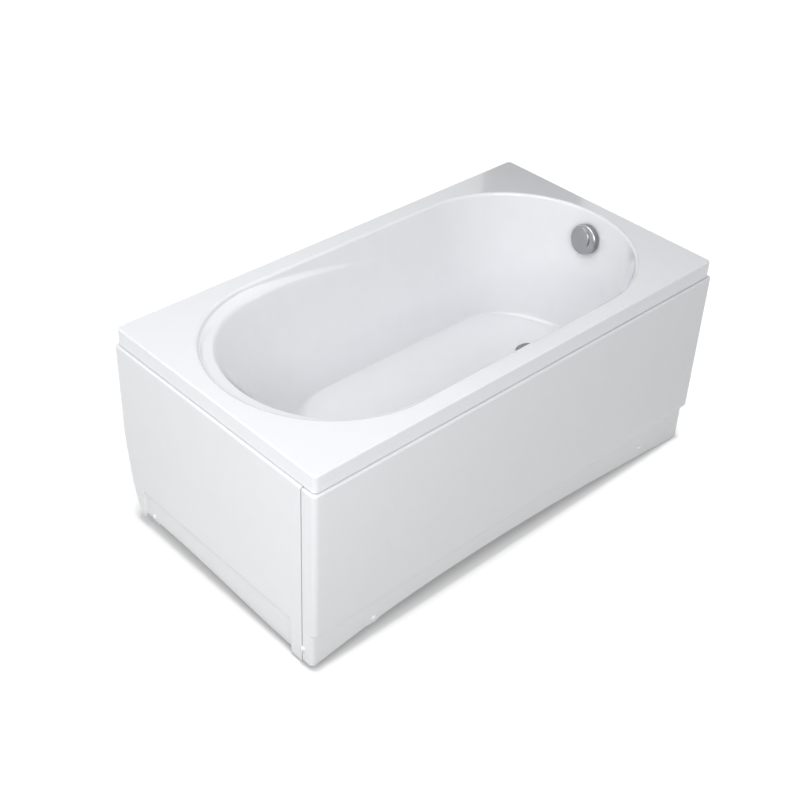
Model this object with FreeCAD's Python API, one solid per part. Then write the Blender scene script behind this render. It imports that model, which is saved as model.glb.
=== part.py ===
import FreeCAD, Part
import math
import os

# Alcove bathtub: a moulded shell on a welded steel frame, with a front and an
# end panel and a turn-knob waste. Millimetres. +X points to the waste end, -Y
# to the room, +Z up. The origin is on the floor under the middle of the rim.

Vec = FreeCAD.Vector
UP = Vec(0, 0, 1)
DOWN = Vec(0, 0, -1)
NEAR = Vec(0, -1, 0)
OUT_HEAD = Vec(-1, 0, 0)

# ---------------------------------------------------------------- the shell
RIM_LENGTH = 1300.0
RIM_WIDTH = 700.0
RIM_HEIGHT = 560.0
SKIRT_DEPTH = 44.0
SHELL_WALL = 5.0
RIM_CORNER_RADIUS = 12.0
DECK_EDGE_RADIUS = 4.0

# The opening is a stadium, two half circles joined by straight sides, and the
# deck is what it leaves of the rim.
DECK_SIDE = 43.0
DECK_END = 37.0
LIP_RADIUS = 8.0

# The ledge round the head end, widest behind the head, falls and fades along the sides.
LEDGE_DROP = 14.0
LEDGE_FALL = 5.0
LEDGE_NOSE = 5.0
LEDGE_FADE_DROP = 108.0
LEDGE_FADE_CURVE = 1.4
LEDGE_FADE_POWER = 2.5
LEDGE_START_SIDE = 11.0
LEDGE_START_HEAD = 17.0
LEDGE_END_SIDE = 30.0
LEDGE_END_HEAD = 45.0
LEDGE_COVE = 3.0
LEDGE_EASE = 1.0

# The floor of the basin, where the lines of the walls would meet it.
FLOOR_DEPTH = 350.0
FLOOR_FALL = 0.011
FLOOR_SIDE_SLOPE = 85.0
FLOOR_HEAD_SLOPE = 283.0
FLOOR_HEAD_REACH = 200.0
FLOOR_WASTE_SLOPE = 68.0
FLOOR_WASTE_REACH = 160.0
FLOOR_FILLET_SIDE = 9.0
FLOOR_FILLET_HEAD = 120.0
FLOOR_FILLET_WASTE = 25.0

HEAD_STATIONS = 8
SIDE_STATIONS = 4
WASTE_STATIONS = 6
LIP_TURNS = (0, 40, 85)
FILLET_SHARES = (0.5, 1.0)

# ---------------------------------------------------------------- the frame
TUBE = 25.0
TUBE_WALL = 2.0
POST_INSET = 50.0
POST_FOOT = 60.0
POST_PLATE = 40.0
PLATE_THICKNESS = 4.0
END_BEAM_DROP = 30.0
CROSS_BEAM_FROM_HEAD = 160.0
CROSS_BEAM_FROM_WASTE = 110.0
BOARD_END = 30.0
BOARD_WIDTH = 300.0
BOARD_DEPTH = 20.0
BATTEN_WIDTH = 22.0
BATTEN_GAP = 5.0
BATTEN_DEPTH = 30.0
BATTEN_END_GAP = 25.0

# ----------------------------------------------------------- levelling feet
STUD = 12.0
STUD_BITE = 60.0
PAD_DIAMETER = 46.0
PAD_HEIGHT = 12.0
PAD_SEAT = 8.0
NUT_ACROSS = 19.0
NUT_HEIGHT = 10.0
WELD_NUT = 24.0
WELD_NUT_HEIGHT = 12.0
RUNNING_FIT = 0.05
STUD_BEVEL = 1.0
PAD_BEVEL = 2.0
PAD_RIM = 4.0
PAD_NECK = 21.6

# --------------------------------------------------------------- the panels
PANEL_PROUD = 6.5
PANEL_WALL = 3.5
PANEL_TOP_GAP = 2.0
PANEL_EDGE_RADIUS = 4.0
PANEL_CORNER_RADIUS = 12.0
PANEL_FLANGE = 36.0
FOLD_HEIGHT = 106.0
FOLD_RISE = 6.0
FRONT_RECESS = 8.5
FRONT_ARCH = 40.0
FRONT_FOOT = 10.0
FRONT_TOE_RADIUS = 18.0
SEAM_RETURN = 43.5
SEAM_GAP = 2.0
END_RECESS = 6.0
END_FOOT_NEAR = 41.0
END_FOOT_BACK = 62.0
END_BAND_SIDE = 5.0
END_BAND_FLOOR = 21.0
END_FOOT = 7.0
END_CHAMFER_Y = 45.0
END_CHAMFER_Z = 26.0
END_CHAMFER_TOP = 60.0
END_CHAMFER_IN = 14.0
END_BACK_RETURN = 20.0

SCREW_HEIGHT = 51.0
FRONT_SCREW_INSET = 182.0
END_SCREW_INSET = 31.0
SEAM_SCREW_INSET = 3.0
SCREW = 4.8
SCREW_HEAD = 8.0
SCREW_HEAD_HEIGHT = 2.4
SCREW_LENGTH = 18.0
SCREW_CLEARANCE = 0.4
CAP_DIAMETER = 12.0
CAP_HEIGHT = 4.5
CAP_BEVEL = 1.8
CAP_CLEARANCE = 0.3
STRAP = 3.0
STRAP_WIDTH = 30.0
STRAP_STEP = 64.0
STRAP_FOOT = 30.0

# ---------------------------------------------------------------- the waste
WASTE_END = 250.0
WASTE_FLANGE = 70.0
WASTE_FLANGE_GAP = 2.0
WASTE_FLANGE_DISH = 3.0
WASTE_FLANGE_CROWN = 0.6
WASTE_HOLE = 52.0
WASTE_BOSS = 90.0
WASTE_BOSS_DEPTH = 10.0
WASTE_TUBE = 48.0
WASTE_TUBE_WALL = 3.0
WASTE_TUBE_LENGTH = 32.0
GASKET = 3.0
BODY_FLANGE = 84.0
BODY_FLANGE_HEIGHT = 6.0
BODY_WALL = 4.0
BODY_CUP_DEPTH = 51.0
OUTLET = 44.0
OUTLET_WALL = 3.0
OUTLET_LENGTH = 22.0
PLUG = 62.0
PLUG_HEIGHT = 6.0
SEAL_INNER = 44.0
SEAL_OUTER = 54.0
SEAL_HEIGHT = 2.5
STEM = 6.0
SPIDER_DEPTH = 19.0
SPIDER_HEIGHT = 5.0
SPIDER_ARM = 4.0
SPIDER_HUB = 12.0

# The port on the side of the waste body, which takes the hose and the lever.
PORT_DROP = 58.0
PORT = 28.0
PORT_WALL = 3.0
PORT_REACH = 70.0
LEVER_ARM = 30.0
LEVER_WIDTH = 8.0
LEVER_THICKNESS = 3.0
LEVER_PIN = 4.0
LEVER_EYE = 8.0
LEVER_PIN_GAP = 1.0
LEVER_GAP = 0.3
LEVER_OVERHANG = 3.0

# ----------------------------------------------------------------- the trap
TRAP_PIPE = 40.0
TRAP_WALL = 2.0
TRAP_BEND = 35.0
TRAP_TURN = 25.0
TRAP_DROP = 55.0
TRAP_SPIGOT = 35.0
TRAP_NUT = 56.0
TRAP_NUT_HEIGHT = 22.0
PIPE_STOP = 46.0
PIPE_STOP_PLACE = 24.0
PIPE_STOP_WIDTH = 4.0
NUT_RIBS = 8
RIB_RISE = 1.5
RIB_DEPTH = 4.0
RIB_WIDTH = 4.0
RIB_END_GAP = 2.0

# ------------------------------------------------------------- the overflow
OVERFLOW_DEPTH = 72.0
OVERFLOW_HOLE = 54.0
OVERFLOW_SEAT = 66.0
OVERFLOW_SEAT_CUT = 0.5
OVERFLOW_BOSS = 74.0
OVERFLOW_BOSS_DEPTH = 10.0
ROSETTE = 63.0
ROSETTE_THICKNESS = 3.0
ROSETTE_TUBE = 53.0
ROSETTE_TUBE_WALL = 2.5
ROSETTE_TUBE_LENGTH = 26.0
ROSETTE_PORTS = 6
ROSETTE_PORT = 9.0
ROSETTE_PORT_CIRCLE = 34.0
SHAFT = 12.0
BUSH_WALL = 3.0
BUSH_LENGTH = 4.0
CUP_DEPTH = 22.0
CUP_WALL = 3.0
KNOB = 82.0
KNOB_STANDOFF = 5.0
KNOB_HEIGHT = 19.0
KNOB_EDGE = 4.0
KNOB_WALL = 5.0
GRIP_LENGTH = 74.0
GRIP_WIDTH = 24.0
GRIP_HEIGHT = 5.0
GRIP_BEVEL = 2.0
GRIP_ANGLE = 50.0
CRANK_ARM = 15.0
CRANK_THICKNESS = 4.0
CRANK_WIDTH = 9.6
CRANK_GAP = 3.0
HOSE = 27.0
HOSE_BORE = 22.0
HOSE_INSET = 28.0
HOSE_DROP = 55.0
HOSE_BEND = 80.0
HOSE_NUT = 36.0
HOSE_NUT_LENGTH = 24.0
CABLE = 5.0
CABLE_GAP = 1.5
CABLE_GLAND = 9.0
CABLE_GLAND_LENGTH = 20.0

# The small bevel of turned pieces, the part of a dome's height that is its straight
# side, and how far a cutter runs past what it cuts.
EDGE_BREAK = 1.0
SIDE_SHARE = 1 / 3
OVERCUT = 1.0

# Places that follow from the sizes above.
HALF_LENGTH = RIM_LENGTH / 2
HALF_WIDTH = RIM_WIDTH / 2
DECK_UNDERSIDE = RIM_HEIGHT - SHELL_WALL
SKIRT_BASE = RIM_HEIGHT - SKIRT_DEPTH
OPENING_RADIUS = HALF_WIDTH - DECK_SIDE
STRAIGHT = HALF_LENGTH - DECK_END - OPENING_RADIUS
FLOOR_HALF_WIDTH = OPENING_RADIUS - FLOOR_SIDE_SLOPE
FLOOR_HEAD_X = -HALF_LENGTH + DECK_END + FLOOR_HEAD_SLOPE
FLOOR_WASTE_X = HALF_LENGTH - DECK_END - FLOOR_WASTE_SLOPE
WASTE_X = HALF_LENGTH - WASTE_END
POST_X = HALF_LENGTH - POST_INSET
POST_Y = HALF_WIDTH - POST_INSET
WASTE_TOP = RIM_HEIGHT - FLOOR_DEPTH
BOARD_BASE = WASTE_TOP - BOARD_DEPTH
RAIL_TOP = BOARD_BASE - TUBE
RAIL_BASE = RAIL_TOP - TUBE
END_BEAM_BASE = RAIL_BASE - END_BEAM_DROP
CROSS_BEAM_HEAD_X = FLOOR_HEAD_X + CROSS_BEAM_FROM_HEAD
CROSS_BEAM_WASTE_X = WASTE_X - CROSS_BEAM_FROM_WASTE
CROSS_BEAM_X = [CROSS_BEAM_HEAD_X, (CROSS_BEAM_HEAD_X + CROSS_BEAM_WASTE_X) / 2, CROSS_BEAM_WASTE_X]
PANEL_TOP = SKIRT_BASE - PANEL_TOP_GAP
PANEL_HALF_X = HALF_LENGTH + PANEL_PROUD
PANEL_HALF_Y = HALF_WIDTH + PANEL_PROUD
SEAM_Y = -PANEL_HALF_Y + SEAM_RETURN
END_BAND_NEAR = SEAM_Y + END_FOOT_NEAR
END_BAND_BACK = HALF_WIDTH - END_FOOT_BACK
WASTE_SEAT = WASTE_TOP - WASTE_FLANGE_DISH
BOSS_BASE = WASTE_TOP - WASTE_BOSS_DEPTH
BODY_TOP = BOSS_BASE - GASKET
CUP_BASE = BODY_TOP - BODY_CUP_DEPTH
OUTLET_END = CUP_BASE - BODY_WALL - OUTLET_LENGTH
FLANGE_TOP = WASTE_TOP + WASTE_FLANGE_CROWN
PLUG_BASE = FLANGE_TOP + SEAL_HEIGHT
TRAP_LOW = OUTLET_END - TRAP_DROP
PORT_Z = WASTE_TOP - PORT_DROP
HOSE_X = HALF_LENGTH - HOSE_INSET
HOSE_TOP = RIM_HEIGHT - OVERFLOW_DEPTH - HOSE_DROP
CABLE_OFFSET = HOSE_NUT / 2 + CABLE_GLAND / 2 + CABLE_GAP
GLAND_WEB = CABLE_GLAND_LENGTH - HOSE_NUT_LENGTH / 2 - CABLE_GAP


def mix(a, b, t):
    return a + (b - a) * t


def save(name, shape):
    """Check a piece and write it to its own file."""
    if not shape.isValid() or not shape.Solids:
        raise ValueError(name + " is not a valid solid")
    shape.exportStep(os.path.join("parts", name + ".step"))


def block(x_span, y_span, z_span):
    return Part.makeBox(x_span[1] - x_span[0], y_span[1] - y_span[0], z_span[1] - z_span[0],
                        Vec(x_span[0], y_span[0], z_span[0]))


def rod(diameter, start, end):
    return Part.makeCylinder(diameter / 2, (end - start).Length, start, end - start)


def pipe(diameter, bore, start, end):
    return rod(diameter, start, end).cut(rod(bore, start, end))


def turned(outline):
    """Turn an outline of (radius, height) points about the Z axis.

    A step with four numbers is an arc: a point on it, then its end.
    """
    edges = []
    last = Vec(outline[0][0], 0, outline[0][1])
    for step in list(outline[1:]) + [outline[0]]:
        end = Vec(step[-2], 0, step[-1])
        if len(step) == 4:
            edges.append(Part.Arc(last, Vec(step[0], 0, step[1]), end).toShape())
        elif (end - last).Length > 1e-6:
            edges.append(Part.LineSegment(last, end).toShape())
        last = end
    return Part.Face(Part.Wire(edges)).revolve(Vec(0, 0, 0), UP, 360)


def dome(radius, base, crown):
    """The arc step of an outline that closes over the axis."""
    rise = crown - base
    sphere = (radius * radius + rise * rise) / (2 * rise)
    centre = crown - sphere
    turn = math.atan2(radius, base - centre) / 2
    return sphere * math.sin(turn), centre + sphere * math.cos(turn), 0, crown


def placed(shape, position, turn=None):
    copy = shape.copy()
    copy.Placement = FreeCAD.Placement(position, turn or FreeCAD.Rotation())
    return copy


def rounded_plan(x_span, y_span, radius, z):
    """A rectangle's wire at a height, with all four corners round."""
    (x0, x1), (y0, y1) = x_span, y_span
    nook = radius * (1 - math.sqrt(0.5))
    edges = []
    corners = ((x1, y0, -1, 1), (x1, y1, -1, -1), (x0, y1, 1, -1), (x0, y0, 1, 1))
    ends = []
    for number, (x, y, sx, sy) in enumerate(corners):
        along_x = Vec(x + sx * radius, y, z)
        along_y = Vec(x, y + sy * radius, z)
        first, second = (along_x, along_y) if number % 2 == 0 else (along_y, along_x)
        ends.append((first, Vec(x + sx * nook, y + sy * nook, z), second))
    for number, (first, middle, second) in enumerate(ends):
        edges.append(Part.Arc(first, middle, second).toShape())
        edges.append(Part.LineSegment(second, ends[(number + 1) % 4][0]).toShape())
    return Part.Wire(edges)


def quarter_steps(radius, count=4):
    """Rise and inset of the points up a quarter-round edge."""
    turns = [math.radians(90 * i / (count - 1)) for i in range(count)]
    return [(radius * math.sin(a), radius * (1 - math.cos(a))) for a in turns]


# ------------------------------------------------------------ shape of the basin
class Station:
    """One place round the opening: the lip, the floor edge and the way out."""

    def __init__(self, lip, outward, foot):
        self.lip = Vec(lip[0], lip[1], RIM_HEIGHT)
        self.outward = Vec(outward[0], outward[1], 0)
        self.foot = Vec(foot[0], foot[1], RIM_HEIGHT - floor_depth(foot[0]))
        self.end_share = outward[0] * outward[0]
        self.fade = 1.0
        self.fillet = FLOOR_FILLET_SIDE


def floor_depth(x):
    return FLOOR_DEPTH + FLOOR_FALL * (x - WASTE_X)


def head_station(angle):
    nx, ny = -math.cos(angle), math.sin(angle)
    centre = FLOOR_HEAD_X + FLOOR_HEAD_REACH
    lip = (-STRAIGHT + OPENING_RADIUS * nx, OPENING_RADIUS * ny)
    station = Station(lip, (nx, ny), (centre + FLOOR_HEAD_REACH * nx, FLOOR_HALF_WIDTH * ny))
    station.fade = 0.0
    station.fillet = mix(FLOOR_FILLET_SIDE, FLOOR_FILLET_HEAD, station.end_share)
    return station


def waste_station(angle):
    nx, ny = math.cos(angle), math.sin(angle)
    centre = FLOOR_WASTE_X - FLOOR_WASTE_REACH
    lip = (STRAIGHT + OPENING_RADIUS * nx, OPENING_RADIUS * ny)
    station = Station(lip, (nx, ny), (centre + FLOOR_WASTE_REACH * nx, FLOOR_HALF_WIDTH * ny))
    station.fillet = mix(FLOOR_FILLET_SIDE, FLOOR_FILLET_WASTE, station.end_share)
    return station


def side_station(share, side):
    lip_x = mix(-STRAIGHT, STRAIGHT, share)
    foot_x = mix(FLOOR_HEAD_X + FLOOR_HEAD_REACH, FLOOR_WASTE_X - FLOOR_WASTE_REACH, share)
    station = Station((lip_x, side * OPENING_RADIUS), (0, side), (foot_x, side * FLOOR_HALF_WIDTH))
    station.fade = share
    return station


def stations():
    """All the places round the opening, clockwise from the near head side."""
    quarter = math.pi / 2
    ring = [head_station(mix(-quarter, quarter, i / HEAD_STATIONS)) for i in range(HEAD_STATIONS)]
    ring += [side_station(i / SIDE_STATIONS, 1) for i in range(SIDE_STATIONS)]
    ring += [waste_station(mix(quarter, -quarter, i / WASTE_STATIONS)) for i in range(WASTE_STATIONS)]
    ring += [side_station(1 - i / SIDE_STATIONS, -1) for i in range(SIDE_STATIONS)]
    return ring


def wall_inset(station, depth):
    """Inset of the plain wall at a depth, on its line from lip to floor."""
    reach = (station.lip - station.foot).dot(station.outward)
    drop = RIM_HEIGHT - station.foot.z
    return LIP_RADIUS + (depth - LIP_RADIUS) * (reach - LIP_RADIUS) / (drop - LIP_RADIUS)


def ledge_points(station):
    """Insets and depths over the ledge, which fades into the plain wall."""
    start = mix(LEDGE_START_SIDE, LEDGE_START_HEAD, station.end_share)
    end = mix(LEDGE_END_SIDE, LEDGE_END_HEAD, station.end_share)
    top = LEDGE_DROP + LEDGE_FADE_DROP * station.fade ** LEDGE_FADE_CURVE
    relief = (1 - station.fade) ** LEDGE_FADE_POWER
    low = top + LEDGE_FALL
    shape = [(start - LEDGE_COVE, top - LEDGE_COVE),
             (start + LEDGE_COVE, top),
             (end - LEDGE_NOSE, low),
             (end, low + LEDGE_EASE),
             (end + LEDGE_NOSE, low + LEDGE_EASE + LEDGE_NOSE)]
    return [(mix(wall_inset(station, depth), inset, relief), depth) for inset, depth in shape]


def inner_profile(station):
    """Points down the inside, from the crown of the lip to the flat of the floor."""
    pairs = []
    for degrees in LIP_TURNS:
        turn = math.radians(degrees)
        pairs.append((LIP_RADIUS * math.sin(turn), LIP_RADIUS * (1 - math.cos(turn))))
    pairs += ledge_points(station)
    points = [station.lip - station.outward * inset + DOWN * depth for inset, depth in pairs]
    top = points[-1]
    run = Vec(station.foot.x - top.x, station.foot.y - top.y, 0)
    drop = top.z - station.foot.z
    slope = math.atan2(drop, run.Length)
    heading = run / run.Length
    length = math.hypot(run.Length, drop)
    radius = station.fillet
    straight = 1 - radius * math.tan(slope / 2) / length
    points.append(top + heading * (run.Length * straight) + DOWN * (drop * straight))
    centre = points[-1] + heading * (radius * math.sin(slope)) + UP * (radius * math.cos(slope))
    for share in FILLET_SHARES:
        turn = slope * (1 - share)
        points.append(centre - heading * (radius * math.sin(turn)) + DOWN * (radius * math.cos(turn)))
    points[-1].z = RIM_HEIGHT - floor_depth(points[-1].x)
    return points


def outer_profile(station):
    """The same line moved out through the wall, from inside the deck down."""
    inner = inner_profile(station)
    points = []
    for k in range(len(LIP_TURNS) - 1, len(inner) - 1):
        step = (inner[k + 1] - inner[k - 1]).normalize()
        flat = Vec(step.x, step.y, 0)
        heading = flat / flat.Length if flat.Length > 0.01 else station.outward * -1
        normal = heading * step.z + DOWN * flat.Length
        points.append(inner[k] + normal * SHELL_WALL)
    points.append(inner[-1] + DOWN * SHELL_WALL)
    points[0].z = RIM_HEIGHT - SHELL_WALL / 2
    return points


def skin(profiles):
    """A closed solid lofted through the rings of points."""
    wires = []
    for level in range(len(profiles[0])):
        curve = Part.BSplineCurve()
        curve.interpolate(Points=[profile[level] for profile in profiles], PeriodicFlag=True)
        wires.append(Part.Wire([curve.toShape()]))
    return Part.makeLoft(wires, True, True)


def basin_skins():
    """The space inside the basin, and the same space with its wall."""
    ring = stations()
    inner = [inner_profile(station) for station in ring]
    for profile in inner:
        profile.insert(0, profile[0] + UP * LIP_RADIUS)
    return skin(inner), skin([outer_profile(station) for station in ring])


def rim_block():
    """The flat deck and its skirt, open from below."""
    x_span, y_span = (-HALF_LENGTH, HALF_LENGTH), (-HALF_WIDTH, HALF_WIDTH)

    def level(inset, z):
        spans = [(span[0] + inset, span[1] - inset) for span in (x_span, y_span)]
        return rounded_plan(spans[0], spans[1], RIM_CORNER_RADIUS - inset, z)

    wires = [level(0, SKIRT_BASE)]
    shoulder = RIM_HEIGHT - DECK_EDGE_RADIUS
    wires += [level(inset, shoulder + rise) for rise, inset in quarter_steps(DECK_EDGE_RADIUS)]
    outside = Part.makeLoft(wires, True, True)
    hollow = [level(SHELL_WALL, SKIRT_BASE - OVERCUT), level(SHELL_WALL, DECK_UNDERSIDE)]
    return outside.cut(Part.makeLoft(hollow, True, True))


def overflow_seat():
    """Place and turn of the overflow, on the slope of the waste-end wall."""
    station = waste_station(0.0)
    inset = wall_inset(station, OVERFLOW_DEPTH)
    steep = wall_inset(station, OVERFLOW_DEPTH + 1) - inset
    tilt = math.degrees(math.atan(steep))
    centre = Vec(station.lip.x - inset, 0, RIM_HEIGHT - OVERFLOW_DEPTH)
    return centre, FreeCAD.Rotation(Vec(0, 1, 0), tilt - 90)


def at_overflow(shape):
    """Move a piece modelled about +Z onto the overflow's axis."""
    centre, turn = overflow_seat()
    return placed(shape, centre, turn)


def waste_axis(z):
    return Vec(WASTE_X, 0, z)


def tub_shell(inner, outer):
    back = -OVERFLOW_BOSS_DEPTH
    boss = rod(OVERFLOW_BOSS, Vec(0, 0, back), Vec(0, 0, -OVERFLOW_SEAT_CUT))
    seat = rod(OVERFLOW_SEAT, Vec(0, 0, -OVERFLOW_SEAT_CUT), Vec(0, 0, KNOB_HEIGHT))
    hole = rod(OVERFLOW_HOLE, Vec(0, 0, 2 * back), Vec(0, 0, KNOB_HEIGHT))
    body = rim_block().fuse([outer, rod(WASTE_BOSS, waste_axis(BOSS_BASE), waste_axis(WASTE_SEAT))])
    body = body.cut(inner).fuse(at_overflow(boss))
    dish = rod(WASTE_FLANGE + 2 * WASTE_FLANGE_GAP, waste_axis(WASTE_SEAT),
               waste_axis(WASTE_TOP + WASTE_FLANGE_DISH))
    drain = rod(WASTE_HOLE, waste_axis(BOSS_BASE - OVERCUT), waste_axis(WASTE_TOP))
    return body.cut([at_overflow(seat), at_overflow(hole), dish, drain])


# ------------------------------------------------------------------- the panels
def front_outline(inset, recess, z, rear):
    """Plan of the front panel at a height; its seam end is never recessed."""
    x0 = -PANEL_HALF_X + inset
    x1 = PANEL_HALF_X - inset - recess
    y0 = -PANEL_HALF_Y + inset + recess
    radius = PANEL_CORNER_RADIUS - inset
    nook = radius * (1 - math.sqrt(0.5))
    left = (Vec(x0, y0 + radius, z), Vec(x0 + nook, y0 + nook, z), Vec(x0 + radius, y0, z))
    right = (Vec(x1 - radius, y0, z), Vec(x1 - nook, y0 + nook, z), Vec(x1, y0 + radius, z))
    a, b = Vec(x0, rear, z), Vec(x1, rear, z)
    edges = [Part.LineSegment(a, left[0]).toShape(), Part.Arc(*left).toShape(),
             Part.LineSegment(left[2], right[0]).toShape(), Part.Arc(*right).toShape(),
             Part.LineSegment(right[2], b).toShape(), Part.LineSegment(b, a).toShape()]
    return Part.Wire(edges)


def front_block(inset, base, top, edge, rear):
    wires = [front_outline(inset, FRONT_RECESS, base, rear),
             front_outline(inset, FRONT_RECESS, FOLD_HEIGHT, rear),
             front_outline(inset, 0, FOLD_HEIGHT + FOLD_RISE, rear)]
    if edge:
        wires += [front_outline(inset + step, 0, top - edge + rise, rear)
                  for rise, step in quarter_steps(edge)]
    else:
        wires.append(front_outline(inset, 0, top, rear))
    return Part.makeLoft(wires, True, True)


def front_arch():
    """What the arched lower edge and the round toe take off the front panel."""
    far = PANEL_HALF_X + PANEL_FLANGE
    low = -PANEL_FLANGE
    toe_x = PANEL_HALF_X - FRONT_RECESS
    start = Vec(-far, 0, FRONT_FOOT)
    toe = Vec(toe_x - FRONT_TOE_RADIUS, 0, FRONT_FOOT)
    nook = FRONT_TOE_RADIUS * (1 - math.sqrt(0.5))
    turn = Vec(toe_x - nook, 0, FRONT_FOOT + nook)
    side = Vec(toe_x, 0, FRONT_FOOT + FRONT_TOE_RADIUS)
    out = Vec(far, 0, FRONT_FOOT + FRONT_TOE_RADIUS)
    edges = [Part.Arc(start, Vec(0, 0, FRONT_ARCH), toe).toShape(),
             Part.Arc(toe, turn, side).toShape(),
             Part.LineSegment(side, out).toShape(),
             Part.LineSegment(out, Vec(far, 0, low)).toShape(),
             Part.LineSegment(Vec(far, 0, low), Vec(-far, 0, low)).toShape(),
             Part.LineSegment(Vec(-far, 0, low), start).toShape()]
    face = Part.Face(Part.Wire(edges))
    face.translate(Vec(0, -PANEL_HALF_Y - OVERCUT, 0))
    return face.extrude(Vec(0, 2 * PANEL_FLANGE + STRAP_WIDTH, 0))


def front_screw_places():
    y = -PANEL_HALF_Y + FRONT_RECESS
    return [Vec(side * (PANEL_HALF_X - FRONT_SCREW_INSET), y, SCREW_HEIGHT) for side in (-1, 1)]


def end_screw_places():
    return [Vec(-PANEL_HALF_X + END_RECESS, END_BAND_BACK - END_SCREW_INSET, SCREW_HEIGHT),
            Vec(-PANEL_HALF_X, SEAM_Y - SEAM_SCREW_INSET, SCREW_HEIGHT)]


def screw_hole(place, outward):
    return rod(SCREW + SCREW_CLEARANCE, place + outward * OVERCUT, place - outward * SCREW_LENGTH)


def front_panel():
    rear = SEAM_Y - SEAM_GAP / 2
    outside = front_block(0, 0, PANEL_TOP, PANEL_EDGE_RADIUS, rear)
    inside = front_block(PANEL_WALL, -OVERCUT, PANEL_TOP - PANEL_WALL, 0, rear + OVERCUT)
    flange_x = PANEL_HALF_X - PANEL_FLANGE
    flange_y = -PANEL_HALF_Y + PANEL_FLANGE
    well = block((-flange_x, PANEL_HALF_X + OVERCUT), (flange_y, rear + OVERCUT),
                 (-OVERCUT, PANEL_TOP + OVERCUT))
    cutters = [inside, well, front_arch()]
    cutters += [screw_hole(place, NEAR) for place in front_screw_places()]
    cutters.append(screw_hole(end_screw_places()[1], OUT_HEAD))
    return outside.cut(cutters)


def end_panel():
    near, back = SEAM_Y + SEAM_GAP / 2, HALF_WIDTH
    face = -PANEL_HALF_X
    shoulder = PANEL_TOP - PANEL_EDGE_RADIUS
    rim = face + PANEL_FLANGE
    steps = [Vec(face + inset, near, shoulder + rise) for rise, inset in quarter_steps(PANEL_EDGE_RADIUS)]
    section = Part.makePolygon([Vec(face, near, 0)] + steps + [Vec(rim, near, PANEL_TOP), Vec(rim, near, 0),
                                                              Vec(face, near, 0)])
    outside = Part.Face(section).extrude(Vec(0, back - near, 0))

    def band(inset, drop):
        """The recess of the lower band, sloped at its top and its sides."""
        wires = []
        for depth, grow in ((-OVERCUT, FOLD_RISE), (0, FOLD_RISE), (END_RECESS, 0)):
            x = face + depth + inset
            y0 = END_BAND_NEAR - grow * END_BAND_SIDE / FOLD_RISE + inset
            y1 = END_BAND_BACK + grow * END_BAND_SIDE / FOLD_RISE - inset
            z1 = FOLD_HEIGHT + grow - inset
            wires.append(Part.makePolygon([Vec(x, y0, drop), Vec(x, y1, drop), Vec(x, y1, z1),
                                           Vec(x, y0, z1), Vec(x, y0, drop)]))
        return Part.makeLoft(wires, True, True)

    past = rim + OVERCUT
    inside = block((face + PANEL_WALL, past), (near - OVERCUT, back - PANEL_WALL),
                   (-OVERCUT, PANEL_TOP - PANEL_WALL))
    backing = block((face + PANEL_WALL, face + END_RECESS + PANEL_WALL),
                    (END_BAND_NEAR - PANEL_WALL, END_BAND_BACK + PANEL_WALL),
                    (0, FOLD_HEIGHT + PANEL_WALL))
    trim = block((face + END_BACK_RETURN, past), (back - PANEL_WALL - OVERCUT, back + OVERCUT),
                 (-OVERCUT, PANEL_TOP - PANEL_WALL))
    front = face - OVERCUT
    gap = block((front, past), (END_BAND_NEAR, END_BAND_BACK), (-OVERCUT, END_BAND_FLOOR))
    foot = block((front, past), (near - OVERCUT, back + OVERCUT), (-OVERCUT, END_FOOT))
    beyond, below = back + OVERCUT, END_FOOT - OVERCUT
    toe = [(back - END_CHAMFER_Y, END_FOOT), (back - END_CHAMFER_IN, END_CHAMFER_Z), (back, END_CHAMFER_TOP),
           (beyond, END_CHAMFER_TOP), (beyond, below), (back - END_CHAMFER_Y, below)]
    corner = Part.Face(Part.makePolygon([Vec(front, y, z) for y, z in toe + toe[:1]]))
    corner = corner.extrude(Vec(past - front, 0, 0))
    hole = screw_hole(end_screw_places()[0], OUT_HEAD)
    panel = outside.cut([inside, trim]).fuse(backing)
    return panel.cut([band(0, -OVERCUT), gap, foot, corner, hole])


def cap(place, outward):
    """A round screw cap, hollow for the head, set against a panel."""
    height, reach = CAP_HEIGHT, CAP_DIAMETER / 2
    hollow = SCREW_HEAD / 2 + CAP_CLEARANCE
    deep = SCREW_HEAD_HEIGHT + CAP_CLEARANCE
    shape = turned([(hollow, 0), (reach, 0), (reach, height - CAP_BEVEL), (reach - CAP_BEVEL, height),
                    (0, height), (0, deep), (hollow, deep)])
    return placed(shape, place, FreeCAD.Rotation(UP, outward))


def screw(place, outward):
    shank, head = SCREW / 2, SCREW_HEAD / 2
    shape = turned([(0, -SCREW_LENGTH), (shank - EDGE_BREAK, -SCREW_LENGTH), (shank, EDGE_BREAK - SCREW_LENGTH),
                    (shank, 0), (head, 0), (head, SCREW_HEAD_HEIGHT - EDGE_BREAK),
                    (head - EDGE_BREAK, SCREW_HEAD_HEIGHT), (0, SCREW_HEAD_HEIGHT)])
    return placed(shape, place, FreeCAD.Rotation(UP, outward))


def strap(carrier, seat, outward, top, middle):
    """A bent strap from a frame member's face out and down to a panel's back."""
    profile = [(carrier, top), (carrier + STRAP, top), (carrier + STRAP, STRAP_STEP + STRAP),
               (seat, STRAP_STEP + STRAP), (seat, STRAP_FOOT), (seat - STRAP, STRAP_FOOT),
               (seat - STRAP, STRAP_STEP), (carrier, STRAP_STEP), (carrier, top)]
    side = outward.cross(UP)
    points = [outward * reach + UP * z - side * (STRAP_WIDTH / 2) + side * middle for reach, z in profile]
    bent = Part.Face(Part.makePolygon(points)).extrude(side * STRAP_WIDTH)
    return bent


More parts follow.
